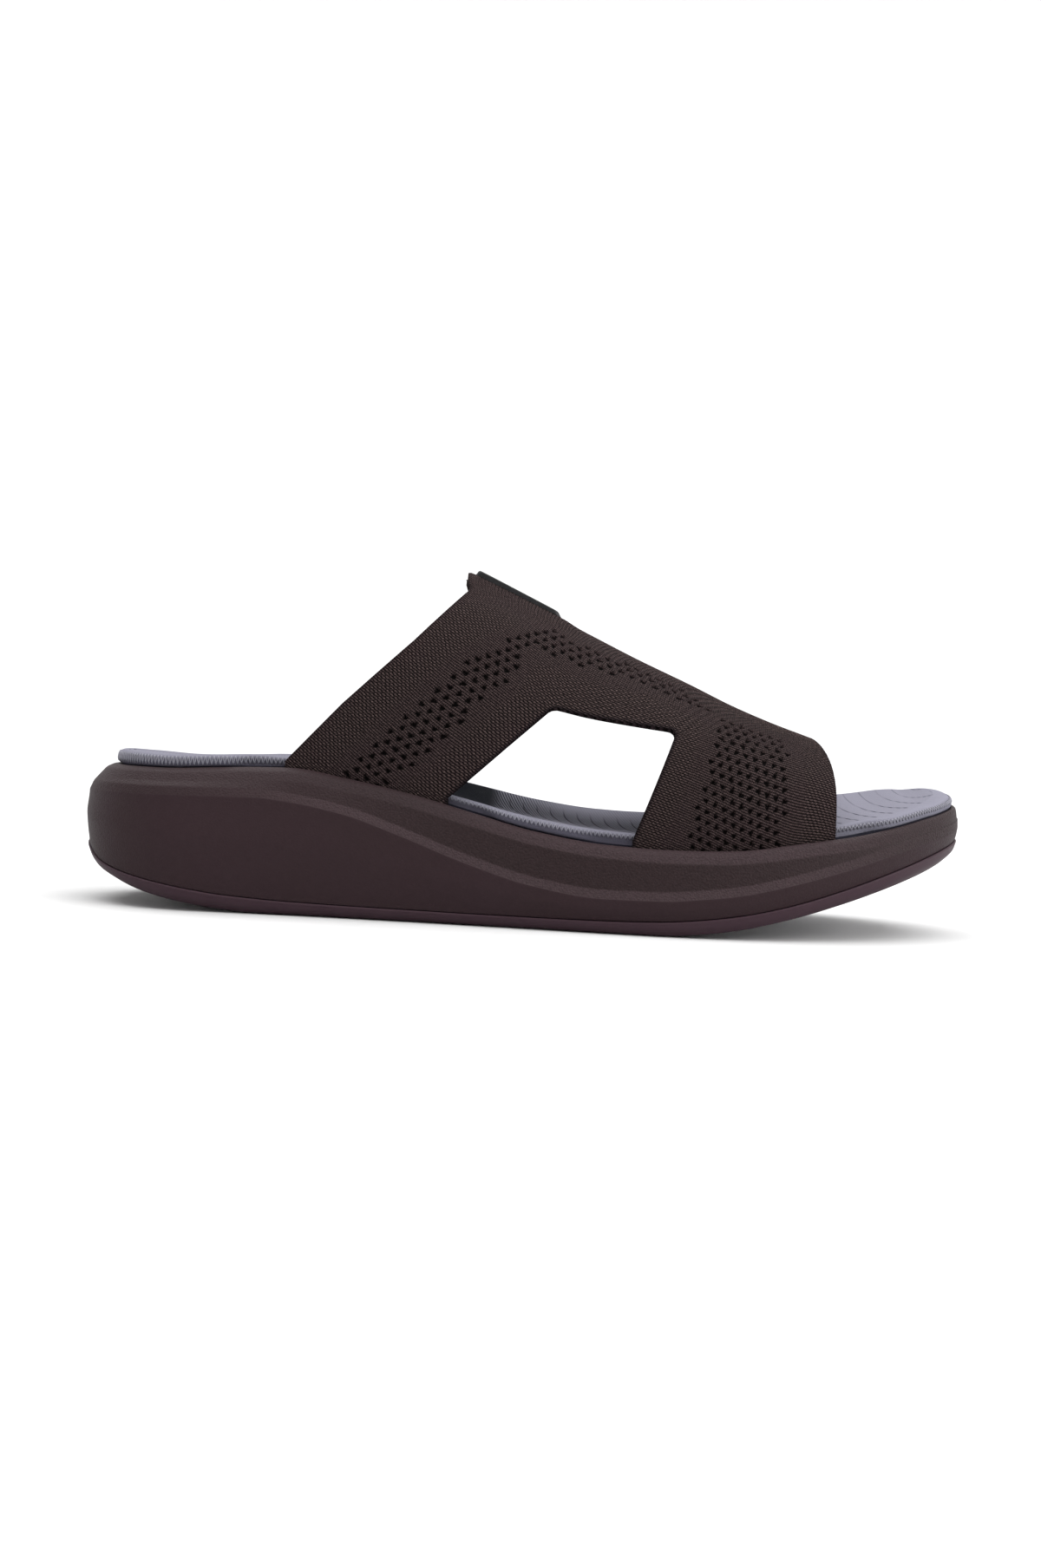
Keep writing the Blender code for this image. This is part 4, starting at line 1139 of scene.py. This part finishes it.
def split(cells):
    """For each part of a grid, its lines' shares across it. A line between two parts is the first one's."""
    return [np.linspace(0, 1, count + 1)[1 if part else 0 :] for part, count in enumerate(cells)]


def by_strip(strip, rear, window, front):
    """One of three values for each point, by the strip of the sheet that it lies in."""
    return np.where(strip == 0, rear, np.where(strip == 1, window, front))


class Knit:
    """Both sides of the upper as one grid, with the courses and wales of its knit."""

    def __init__(self):
        built = {side: Flank(side).build() for side in (LATERAL, MEDIAL)}
        # Ridge row once, lateral rows before it, medial rows after it.
        self.points = np.concatenate([built[LATERAL][0][:, :0:-1], built[MEDIAL][0]], axis=1)
        self.arc = np.concatenate([built[LATERAL][1][:, :0:-1], built[MEDIAL][1]], axis=1)
        self.ridge = sum(PARTS)
        self.window = (STRIPS[0], STRIPS[0] + STRIPS[1])
        # Taken before the windows' corners are rounded, because the cells there fold into the opening.
        self.normal = self.normals()
        self.round_windows()
        self.measure()
        self.set_zones()
        self.raise_tab()

    def normals(self):
        normal = np.cross(np.gradient(self.points, axis=0), np.gradient(self.points, axis=1))
        normal /= np.maximum(np.linalg.norm(normal, axis=2, keepdims=True), 1e-9)
        return normal * np.sign(normal[0, self.ridge, 2])

    def round_windows(self):
        """Turns each window's two upper corners into arcs."""
        for way in (LATERAL, MEDIAL):
            for column, step, radius in zip(self.window, (1, -1), CORNER_RADIUS):
                self.round_corner(column, step, way, radius)

    def round_corner(self, column, step, way, radius):
        """Moves the window's edge onto an arc, and the knit beside it less and less. Cells are counted from
        the corner, i along the window's top and k down its side."""
        grid, row = self.points, self.ridge + way * PARTS[0]
        corner = grid[column, row].copy()
        along, down = grid[column + step, row] - corner, grid[column, row + way] - corner
        cell_i, cell_k = np.linalg.norm(along), np.linalg.norm(down)
        along, down = along / cell_i, down / cell_k
        reach_i, reach_k = int(3 * radius / cell_i) + 1, int(3 * radius / cell_k) + 1
        for i, k in product(range(-reach_i, reach_i + 1), range(-reach_k, reach_k + 1)):
            from_corner = max(i, 0) * cell_i + max(k, 0) * cell_k
            in_opening = i > 0 and k > 0
            if in_opening or from_corner >= radius:
                continue
            turn = math.radians(225 - 45 * from_corner / radius)
            move = [radius + radius * math.cos(turn), radius + radius * math.sin(turn) - from_corner]
            if i > 0:
                move.reverse()
            fade = spread_out(max(-i * cell_i, -k * cell_k), 0, 2.5 * radius)
            grid[column + step * i, row + way * k] += fade * (move[0] * along + move[1] * down)

    def measure(self):
        """Wale and course numbers, and distances in millimetres to the collar, toe and window borders."""
        g = np.concatenate(split(STRIPS))[:, None]
        strip = np.concatenate([np.full(len(part), i) for i, part in enumerate(split(STRIPS))])[:, None]
        steps = np.linalg.norm(np.diff(self.points, axis=0), axis=2)
        run = np.concatenate([np.zeros((1, steps.shape[1])), np.cumsum(steps, axis=0)])
        from_window = REAR_WALES + WINDOW_WALES + (run - run[self.window[1]]) / WALE
        self.wale = by_strip(strip, REAR_WALES * g, REAR_WALES + WINDOW_WALES * g, from_window)
        # How far the courses have sunk below the ridge's line. They level out towards the toe edge.
        front = Table("g fall", [(0, 0), (0.3, 2.4), (0.6, 4.7), (0.74, 5.0), (1, 1.0)])
        drop = smoothstep(self.arc, 35, 75)
        fall = by_strip(strip, 15.5 * g, 15.5 + 6.3 * g, 21.8 + front("fall", g) * drop)
        pitch = COURSE - 0.03 * smoothstep(strip + g, 1.0, 2.2)
        self.course = (self.arc - fall) / pitch
        self.strip, self.g = np.broadcast_to(strip, run.shape), np.broadcast_to(g, run.shape)
        self.from_collar, self.to_toe = run, run[-1] - run
        self.to_window = self.distance_to_window(run)

    def distance_to_window(self, run):
        """Roughly how far each point lies from the window's edge, over the sheet."""
        rows = np.arange(self.points.shape[1])
        beside = np.abs(rows - self.ridge) > PARTS[0]
        rear, front = run[self.window[0]] - run, run - run[self.window[1]]
        across = np.maximum(np.maximum(rear, front), 0)
        above = np.zeros_like(run)
        for way in (LATERAL, MEDIAL):
            top = self.arc[:, [self.ridge + way * PARTS[0]]]
            half = (rows - self.ridge) * way >= 0
            above = np.where(half, np.maximum(top - self.arc, 0), above)
        return np.where(beside, across, np.hypot(across, above))

    def set_zones(self):
        """Where the stitches are coarse, where pinholes run and how dark the edges are. The pinholes fill a
        band round the windows, from an outer border to an inner one."""
        strip, g, arc = self.strip, self.g, self.arc
        rear, window, front = STRIP_MM
        along = strip + g
        across = by_strip(strip, rear * g, rear + window * g, rear + window + front * g)
        outer_top = 20.5 + 3.0 * smoothstep(along, 1.4, 1.9) + 9.5 * smoothstep(along, 1.9, 2.3)
        inner_top = 31.5 - 2.0 * smoothstep(along, 1.1, 1.6) + 3.0 * smoothstep(along, 1.6, 2.2)
        chamfer = ((across - 19.5) * 23.0 + (arc - 47.0) * 11.0) / math.hypot(23.0, 11.0)
        inside = np.minimum.reduce(
            [across - 0.373 * rear, arc - outer_top, rear + window + 0.72 * front - across, chamfer]
        )
        outside = np.maximum.reduce(
            [0.65 * rear - across, inner_top - arc, across - rear - window - 0.255 * front]
        )
        band = np.minimum(inside, outside)
        self.pit = self.pits(band)
        crown = smoothstep(arc, 14, 30)
        toe = smoothstep(self.to_toe, 15.5, 13.0) * smoothstep(arc, 3, 12)
        self.coarse = smoothstep(-band, 4.5, 7.0) * np.maximum(crown, toe)
        self.coarse = self.coarse * smoothstep(self.from_collar, 0.8, 1.6)
        ends = spread_out(np.minimum(self.from_collar, self.to_toe + 0.4), 0.3, 1.6)
        self.edge = np.maximum(spread_out(self.to_window, 0.5, 1.5), 0.45 * ends)

    def pits(self, band):
        """Share of pinhole at each point: small pits of uneven outline on a staggered lattice, whole ones
        only, inside the band."""
        half = np.where(np.arange(self.points.shape[1]) < self.ridge, 0, 1)
        away, number, turn = np.full(band.shape, 9.0), np.zeros(band.shape, int), np.zeros(band.shape)
        # The lattice's holes, then those in the middle of its cells. Each has a number of its own.
        for row, shift in enumerate((0.0, 0.5)):
            a = (self.wale - HOLE_PHASE[0]) / HOLE_EVERY[0] + shift
            b = (self.course - HOLE_PHASE[1]) / HOLE_EVERY[1] + shift
            i, k = np.floor(a), np.floor(b)
            across, down = (a - i - 0.5) * HOLE_PITCH[0], (b - k - 0.5) * HOLE_PITCH[1]
            length = np.hypot(across, down)
            nearer = length < away
            away = np.where(nearer, length, away)
            turn = np.where(nearer, np.arctan2(down, across), turn)
            number = np.where(nearer, (((i + 200) * 1000 + k + 200) * 2 + row) * 2 + half, number).astype(int)
        holes, which = np.unique(number, return_inverse=True)
        which = which.reshape(band.shape)
        near = away < 0.5
        total = np.bincount(which[near], minlength=len(holes))
        middle = np.bincount(which[near], band[near], minlength=len(holes)) / np.maximum(total, 1)
        kept = (total > 0) & (middle > -0.3)
        size, corners, oval = np.random.default_rng(11).random((3, len(holes)))[:, which]
        uneven = 1 + 0.22 * np.cos(3 * turn + 6.3 * corners) + 0.12 * np.cos(2 * turn + 6.3 * oval)
        outline = (0.8 + 0.16 * size) * uneven
        return spread_out(away / outline, 0.7, 1.2) * kept[which]

    def raise_tab(self):
        """The collar's middle ends in a thick rolled edge of smooth, close knit, which runs up under the
        badge's rear end and thins out towards its front end."""
        x = self.points[..., 0]
        away = np.abs(self.points[..., 1] - self.points[:, [self.ridge], 1])
        near = spread_out(away[:1], TAB_HALF - TAB_FADE[0], TAB_HALF + TAB_FADE[1])
        from_edge = x - x[:1]
        roll = TAB_LIFT * smoothstep(from_edge, -1.0, 0.9)
        share = np.clip((BADGE_END - x) / (BADGE_END - BADGE_START), 0, 1)
        under = BADGE_WEDGE * share * spread_out(away, BADGE_HALF - 0.5, BADGE_HALF + 4.5)
        front = smoothstep(x, BADGE_START - 0.6, BADGE_START + 1.4)
        self.lift = near * roll * (1 - front) + under * front
        self.tab = near * spread_out(from_edge, 2.6, 4.0)
        self.coarse = self.coarse * (1 - self.tab)

    def relief(self):
        """Height of the knit over its base, in millimetres: slits, furrows between courses, pinhole pits."""
        row = np.floor(self.course)
        down = self.course - row - 0.5
        across = (self.wale / STITCH_WALES + 0.5 * (row % 2)) % 1 - 0.5
        dash = spread_out(np.hypot(across / 0.36, (down - SLIT_SLOPE * across) / 0.3), 0.5, 1.3)
        furrow = spread_out(np.abs(down), 0.05, 0.42)
        depth = 0.2 * (self.coarse * np.maximum(dash, 0.6 * furrow) + (1 - self.coarse) * 0.7 * furrow)
        return 0.12 - depth * (1 - self.pit) * (1 - self.tab) - HOLE_DEPTH * self.pit

    def border(self, way, step):
        """Columns and rows round one side's open edge: collar, foot, window, foot, toe edge."""
        down, last = sum(PARTS), sum(STRIPS)
        rear, front = self.window
        corners = np.array([
            (0, 0), (0, down), (rear, down), (rear, PARTS[0]),
            (front, PARTS[0]), (front, down), (last, down), (last, 0),
        ])
        path = [corners[:1]]
        for start, end in zip(corners, corners[1:]):
            count = np.abs(end - start).max() // step
            path.append(start + (end - start) * np.arange(1, count + 1)[:, None] // count)
        columns, rows = np.concatenate(path).T
        return columns, self.ridge + way * rows

    def faces(self, way, scale):
        """Quads of one side's grid with one cell for so many of the finest, without those in the window."""
        columns, rows = sum(STRIPS) // scale, sum(PARTS) // scale
        numbers = np.arange((columns + 1) * (rows + 1)).reshape(columns + 1, rows + 1)
        column, row = np.meshgrid(np.arange(columns) * scale, np.arange(rows), indexing="ij")
        down = (rows - 1 - row if way == LATERAL else row) * scale
        in_window = (column >= self.window[0]) & (column < self.window[1]) & (down >= PARTS[0])
        return grid_quads(numbers)[~in_window]


def beaded_edge(knit, outer, inner, columns, rows, way, bead):
    """Rows of points that close the open edge from the outer face to the inner one, swelling into beads. The
    foot has none, and the tab's roll is thick and smooth."""
    along = np.gradient(knit.points[columns, rows], axis=0)
    for _ in range(12):
        along[1:-1] = (along[:-2] + along[1:-1] + along[2:]) / 3
    away = np.cross(along, knit.normal[columns, rows]) * way
    away /= np.linalg.norm(away, axis=1, keepdims=True)
    run = np.concatenate([[0], np.cumsum(np.linalg.norm(np.diff(outer, axis=0), axis=1))])
    down = np.abs(rows - knit.ridge)
    foot = PARTS[0] + PARTS[1]
    tab = knit.tab[columns, rows]
    beads = (0.5 + 0.5 * np.cos(2 * math.pi * run / bead)) * spread_out(down, foot - 2, foot + 2) * (1 - tab)
    levels = []
    for share in (0.12, 0.3, 0.5, 0.7, 0.88):
        swell = math.sin(math.pi * share) * (0.48 + 0.45 * beads + 0.85 * tab)
        levels.append(outer * (1 - share) + inner * share + away * swell[:, None])
    return levels


def seam(fine, coarse):
    """Triangles between a line of points and another with one point for every few of it."""
    low = fine[np.arange(len(coarse) - 1)[:, None] * COARSE + np.arange(COARSE + 1)]
    start, end = coarse[:-1], coarse[1:]
    half = COARSE // 2
    fan = [(low[:, i], low[:, i + 1], start) for i in range(half)]
    fan.append((low[:, half], end, start))
    fan += [(low[:, i], low[:, i + 1], end) for i in range(half, COARSE)]
    return np.transpose(fan, (2, 0, 1)).reshape(-1, 3)


def build_upper(material, bead):
    """The knit in its two halves: a fine outer face, a coarse inner one, and the edge between them."""
    knit = Knit()
    outer = knit.points + knit.normal * (knit.lift + knit.relief())[..., None]
    inner = knit.points - knit.normal * WALL
    grain = np.stack([knit.wale - HOLE_PHASE[0], knit.course - HOLE_PHASE[1], np.zeros_like(knit.wale)], -1)
    zones = np.stack([knit.coarse, knit.pit, knit.edge], -1)
    unpitted = np.array([1, 0, 1])
    for side, way, first_row in (("lateral", LATERAL, 0), ("medial", MEDIAL, knit.ridge)):
        span = slice(first_row, first_row + knit.ridge + 1)
        fine, thick = outer[:, span], inner[::COARSE, span][:, ::COARSE]
        columns, rows = knit.border(way, 1)
        levels = beaded_edge(knit, outer[columns, rows], inner[columns, rows], columns, rows, way, bead)

        # Point numbers: the outer face, then the inner face, then the edge's rows.
        inner_start = fine[..., 0].size
        edge_start = inner_start + thick[..., 0].size
        lines = [columns * fine.shape[1] + rows - first_row]
        lines += [edge_start + np.arange(i * len(rows), (i + 1) * len(rows)) for i in range(len(levels))]
        strips = [
            np.column_stack([high[:-1], high[1:], low[1:], low[:-1]]) for high, low in zip(lines, lines[1:])
        ]
        coarse_columns, coarse_rows = (line // COARSE for line in knit.border(way, COARSE))
        inner_line = inner_start + coarse_columns * thick.shape[1] + coarse_rows - first_row // COARSE
        inner_faces = inner_start + knit.faces(way, COARSE)[:, ::-1]
        faces = [np.concatenate([knit.faces(way, 1), inner_faces, *strips]), seam(lines[-1], inner_line)]
        points = np.concatenate([fine.reshape(-1, 3), thick.reshape(-1, 3), *levels])
        piece = new_piece(f"knit_upper_{side}", points, faces, material, "upper", 0)

        for name, values, kept in (("knit", grain, 1), ("zone", zones, unpitted)):
            on_outer, on_inner = values[:, span], values[::COARSE, span][:, ::COARSE] * kept
            on_edge = [values[columns, rows] * kept] * len(levels)
            everywhere = [on_outer.reshape(-1, 3), on_inner.reshape(-1, 3), *on_edge]
            set_attribute(piece, name, np.concatenate(everywhere))
        face_outwards(piece)


# --- badge ---------------------------------------------------------------------------------------------
BADGE_CELLS = (36, 22)
BADGE_LAYERS = (  # lift over the knit and inset, from the underside up the sides to the sunk face
    (0.5 * GAP, 0.35),
    (0.5 * GAP, 0.0),
    (GAP + BADGE_THICK - 0.35, 0.0),
    (GAP + BADGE_THICK - 0.15, 0.06),
    (GAP + BADGE_THICK - 0.04, 0.2),
    (GAP + BADGE_THICK, 0.4),
    (GAP + BADGE_THICK, 1.15),
    (GAP + BADGE_THICK - 0.03, 1.25),
    (GAP + BADGE_THICK - 0.1, 1.35),
    (GAP + BADGE_THICK - 0.12, 1.5),
)


class Plate:
    """The badge's plate, bent to the ridge: points from cells along and across it, a lift and an inset."""

    def __init__(self):
        self.length = BADGE_END - BADGE_START
        slope = float(UPPER("ridge", BADGE_START) - UPPER("ridge", BADGE_END)) / self.length
        self.square = math.hypot(1, slope)
        self.sections = {}

    def height(self, x, y):
        """Height of the knit under the plate."""
        key = round(float(x), 3)
        if key not in self.sections:
            lateral, medial = (Section(x, side) for side in (LATERAL, MEDIAL))
            self.sections[key] = (
                np.concatenate([lateral.y[::-1], medial.y[1:]]),
                np.concatenate([lateral.z[::-1], medial.z[1:]]),
            )
        return float(np.interp(y, *self.sections[key]))

    def point(self, i, k, lift, inset):
        share, side = i / BADGE_CELLS[0], -1 + 2 * k / BADGE_CELLS[1]
        length, half = self.length - 2 * inset, BADGE_HALF - inset
        x = BADGE_START + inset + share * length
        # The plan's corners are rounded.
        corner = 1.6 - min(inset, 1.2)
        short_x = corner - min(share, 1 - share) * length
        short_y = corner - (1 - abs(side)) * half
        if short_x > 0 and short_y > 0:
            pull = 1 - max(short_x, short_y) / math.hypot(short_x, short_y)
            x += math.copysign(short_x * pull, 0.5 - share)
            side = math.copysign(abs(side) - short_y * pull / half, side)
        # The ends slant inwards and the plate is thicker at its rear, both more the higher the point lies.
        high = max(lift - GAP, 0) / BADGE_THICK
        x += BADGE_SLANT * high * (1 - 2 * share)
        y = middle_y(x) + float(UPPER("lean", x)) + side * half
        wedge = (BADGE_WEDGE + BADGE_THICKER * high) * (1 - share)
        return (x, y, self.height(x, y) + (lift + wedge) * self.square)


def build_badge(material):
    """A plain plate bent to the ridge, its ends slanted, its face sunk a little inside a narrow rim."""
    plate = Plate()
    end, side = BADGE_CELLS
    border = [(0, k) for k in range(side + 1)] + [(i, side) for i in range(1, end + 1)]
    border += [(end, k) for k in range(side - 1, -1, -1)] + [(i, 0) for i in range(end - 1, 0, -1)]
    points = [plate.point(i, k, *layer) for layer in BADGE_LAYERS for i, k in border]
    loops = np.arange(len(points)).reshape(len(BADGE_LAYERS), len(border))
    quads = [loop_quads(low, high) for low, high in zip(loops, loops[1:])]
    # The sunk face and the underside.
    for layer, loop in ((BADGE_LAYERS[-1], loops[-1]), (BADGE_LAYERS[0], loops[0])):
        grid = np.zeros((end + 1, side + 1), int)
        grid[tuple(np.transpose(border))] = loop
        for i, k in product(range(1, end), range(1, side)):
            grid[i, k] = len(points)
            points.append(plate.point(i, k, *layer))
        quads.append(grid_quads(grid).reshape(-1, 4))
    face_outwards(
        new_piece("badge_face", points, [np.concatenate(quads)], material, "badge", 50)
    )


# --- stage ---------------------------------------------------------------------------------------------
def add_light(name, place, target, size, power, colour):
    data = bpy.data.lights.new(name, "AREA")
    data.shape = "RECTANGLE"
    data.size, data.size_y = size
    data.energy = power
    data.color = colour
    light = bpy.data.objects.new(name, data)
    light.location = place
    light.rotation_euler = (Vector(target) - Vector(place)).to_track_quat("-Z", "Y").to_euler()
    bpy.context.scene.collection.objects.link(light)


def build_floor(material, sides=96):
    """A round sheet of board that sweeps up on all sides, so that no edge shows from any angle. In metres."""
    radii = np.concatenate([[0.05], np.linspace(0.3, 1.2, 6), np.linspace(1.25, 3.0, 30)])
    lift = 0.75 * np.maximum(radii - 1.2, 0) ** 2
    turn = np.arange(sides) * 2 * math.pi / sides
    rings = np.stack(np.broadcast_arrays(
        radii[:, None] * np.cos(turn), radii[:, None] * np.sin(turn), lift[:, None]
    ), -1)
    points = np.vstack([rings.reshape(-1, 3), [[0, 0, 0]]])
    numbers = np.arange(rings[..., 0].size).reshape(len(radii), sides)
    quads = np.concatenate([loop_quads(high, low) for low, high in zip(numbers, numbers[1:])])
    middle = np.column_stack([numbers[0], np.roll(numbers[0], -1), np.full(sides, numbers.size)])
    floor = new_object("studio_floor", points, [quads, middle], material)
    floor.location.z = -0.3 * MM  # just clear of the tread


def build_stage(stage, colours):
    scene = bpy.context.scene
    build_floor(floor_material(colours))
    world = bpy.data.worlds.new("studio_air")
    world.use_nodes = True
    air = world.node_tree.nodes["Background"]
    air.inputs["Color"].default_value = (1.0, 1.0, 1.0, 1.0)
    air.inputs["Strength"].default_value = stage.air
    scene.world = world
    add_light("key_softbox", (0.8, -0.85, 0.9), (0, 0, 0.04), (1.2, 0.9), stage.key, (1.0, 0.98, 0.96))
    add_light("top_softbox", (0.0, 0.3, 2.2), (0, 0.3, 0.0), (3.4, 3.4), stage.top, (1.0, 1.0, 1.0))
    add_light("toe_fill", (1.3, -0.3, 0.5), (0.1, 0, 0.05), (0.9, 0.9), stage.fill, (0.97, 0.98, 1.0))

    camera = bpy.data.cameras.new("camera")
    camera.sensor_width = 36.0
    camera.lens = stage.lens
    holder = bpy.data.objects.new("camera", camera)
    holder.matrix_world = (
        Matrix.Translation((stage.across * MM, -stage.distance * MM, stage.height * MM))
        @ Matrix.Rotation(math.pi / 2 - stage.pitch, 4, "X")
        @ Matrix.Rotation(stage.roll, 4, "Z")
    )
    scene.collection.objects.link(holder)
    scene.camera = holder
    scene.view_settings.view_transform = "Standard"
    scene.view_settings.look = "None"


# --- settings a user would change ----------------------------------------------------------------------
def colour(name, description, code):
    return FloatVectorProperty(name=name, description=description, subtype="COLOR", size=3, min=0, max=1,
                               default=linear(code))


class SandalColours(bpy.types.PropertyGroup):
    """Colours of the sandal and its stage."""

    foam: colour("Foam", "Upper side panel of the midsole", "231819")
    foam_low: colour("Foam, low", "Lower side panel of the midsole", "291b20")
    foam_warm: colour("Foam, warm", "Warm patches of the moulded skin", "26191b")
    # Painted highlight on the midsole's up-facing step and rim bevel.
    foam_highlight: colour("Foam, edges", "Rubbed step and rim of the midsole", "322528")
    foam_crease: colour("Foam, crease", "Creases of the mould's grain", "181011")
    rubber: colour("Rubber", "Outsole", "32222a")
    rubber_dull: colour("Rubber, dull", "Scuffed outsole", "3a2b31")
    yarn: colour("Yarn", "Knitted upper", "261c1e")
    # Painted highlight on the tops of the stitches, also used as the sheen's tint.
    yarn_highlight: colour("Yarn, light", "Tops of the stitches", "574947")
    # Painted shade between the stitches.
    gap: colour("Gap", "Between the stitches", "030101")
    # Painted shade inside the pinholes.
    pinhole_shade: colour("Pinhole", "Inside the pinholes", "040202")
    edge_yarn: colour("Edge yarn", "Rolled edges", "281f22")
    cloth: colour("Cloth", "Insole cover", "76757f")
    cloth_shade: colour("Cloth, shade", "Darker fibres of the cover", "6d6c78")
    cloth_low: colour("Cloth, low", "Lower part of the rolled band", "4b4954")
    # Also the painted shade where the insole's band meets the rim.
    cloth_line: colour("Pressed line", "Pressed lines of the footbed", "1c1c26")
    cloth_dark: colour("Dark print", "Dark area of the footbed", "0d1019")
    thread: colour("Thread", "Edge stitches", "777681")
    thread_shade: colour("Thread, shade", "Shaded side of the twist", "5a5964")
    plate: colour("Plate", "Badge", "0f0f11")
    floor: colour("Floor", "Studio floor", "c8c8c8")


class SandalSizes(bpy.types.PropertyGroup):
    """Sizes of the added detail."""

    stitch_pitch: FloatProperty(
        name="Stitch pitch", description="Zigzag stitches on the insole, mm", default=1.37, min=0.8, max=4
    )
    edge_bead: FloatProperty(
        name="Edge bead", description="Bumps along the upper's rolled edges, mm", default=1.66, min=0.8, max=4
    )


class SandalStage(bpy.types.PropertyGroup):
    """Camera and lights."""

    across: FloatProperty(name="Across", description="Camera's x, mm", default=-1.9)
    distance: FloatProperty(name="Distance", description="Camera's distance, mm", default=620.6, min=100)
    height: FloatProperty(name="Height", description="Camera's height, mm", default=61.0, min=1)
    pitch: FloatProperty(name="Pitch", description="Camera looks down by this much", default=0.0288,
                         subtype="ANGLE")
    roll: FloatProperty(name="Roll", description="Camera's roll", default=math.radians(2.6), subtype="ANGLE")
    lens: FloatProperty(name="Lens", description="Focal length, mm", default=42.74, min=10)
    air: FloatProperty(name="Air", description="Strength of the surrounding light", default=0.5, min=0)
    key: FloatProperty(name="Key", description="Power of the front softbox, W", default=5.0, min=0)
    top: FloatProperty(name="Top", description="Power of the overhead softbox, W", default=120.0, min=0)
    fill: FloatProperty(name="Fill", description="Power of the fill at the toe, W", default=9.5, min=0)


# --- operators -----------------------------------------------------------------------------------------
class BuildSole(bpy.types.Operator):
    """Build the foam midsole and the grooved rubber outsole"""

    bl_idname = "sandal.sole"
    bl_label = "Sole"

    def execute(self, context):
        colours = context.scene.sandal_colours
        build_midsole(foam_material(colours))
        build_outsole(rubber_material(colours))
        return {"FINISHED"}


class BuildInsole(bpy.types.Operator):
    """Build the padded insole with its pressed lines and edge stitching"""

    bl_idname = "sandal.insole"
    bl_label = "Insole"

    def execute(self, context):
        colours = context.scene.sandal_colours
        build_insole(textile_material(colours))
        build_edge_stitching(thread_material(colours), context.scene.sandal_sizes.stitch_pitch)
        return {"FINISHED"}


class BuildUpper(bpy.types.Operator):
    """Build the knitted upper in its two halves"""

    bl_idname = "sandal.upper"
    bl_label = "Upper"

    def execute(self, context):
        build_upper(knit_material(context.scene.sandal_colours), context.scene.sandal_sizes.edge_bead)
        return {"FINISHED"}


class BuildBadge(bpy.types.Operator):
    """Build the bare badge on the instep"""

    bl_idname = "sandal.badge"
    bl_label = "Badge"

    def execute(self, context):
        build_badge(plate_material(context.scene.sandal_colours))
        return {"FINISHED"}


class BuildStage(bpy.types.Operator):
    """Set up the floor, the lights and the camera"""

    bl_idname = "sandal.stage"
    bl_label = "Stage"

    def execute(self, context):
        build_stage(context.scene.sandal_stage, context.scene.sandal_colours)
        return {"FINISHED"}


OPERATORS = (BuildSole, BuildInsole, BuildUpper, BuildBadge, BuildStage)


class SandalPanel(bpy.types.Panel):
    """Lists the builders and their settings"""

    bl_idname = "VIEW3D_PT_sandal"
    bl_label = "Sandal"
    bl_space_type = "VIEW_3D"
    bl_region_type = "UI"
    bl_category = "Sandal"

    def draw(self, context):
        for operator in OPERATORS:
            self.layout.operator(operator.bl_idname)
        for group in (context.scene.sandal_sizes, context.scene.sandal_stage, context.scene.sandal_colours):
            box = self.layout.box()
            for name in group.__annotations__:
                box.prop(group, name)


GROUPS = {"sandal_colours": SandalColours, "sandal_sizes": SandalSizes, "sandal_stage": SandalStage}


def register():
    for kind in (*GROUPS.values(), *OPERATORS, SandalPanel):
        bpy.utils.register_class(kind)
    for name, kind in GROUPS.items():
        setattr(bpy.types.Scene, name, PointerProperty(type=kind))


def unregister():
    for name in GROUPS:
        delattr(bpy.types.Scene, name)
    for kind in (SandalPanel, *OPERATORS, *GROUPS.values()):
        bpy.utils.unregister_class(kind)


def main():
    register()
    bpy.ops.sandal.stage()
    bpy.ops.sandal.sole()
    bpy.ops.sandal.insole()
    bpy.ops.sandal.upper()
    bpy.ops.sandal.badge()


if __name__ == "__main__":
    main()
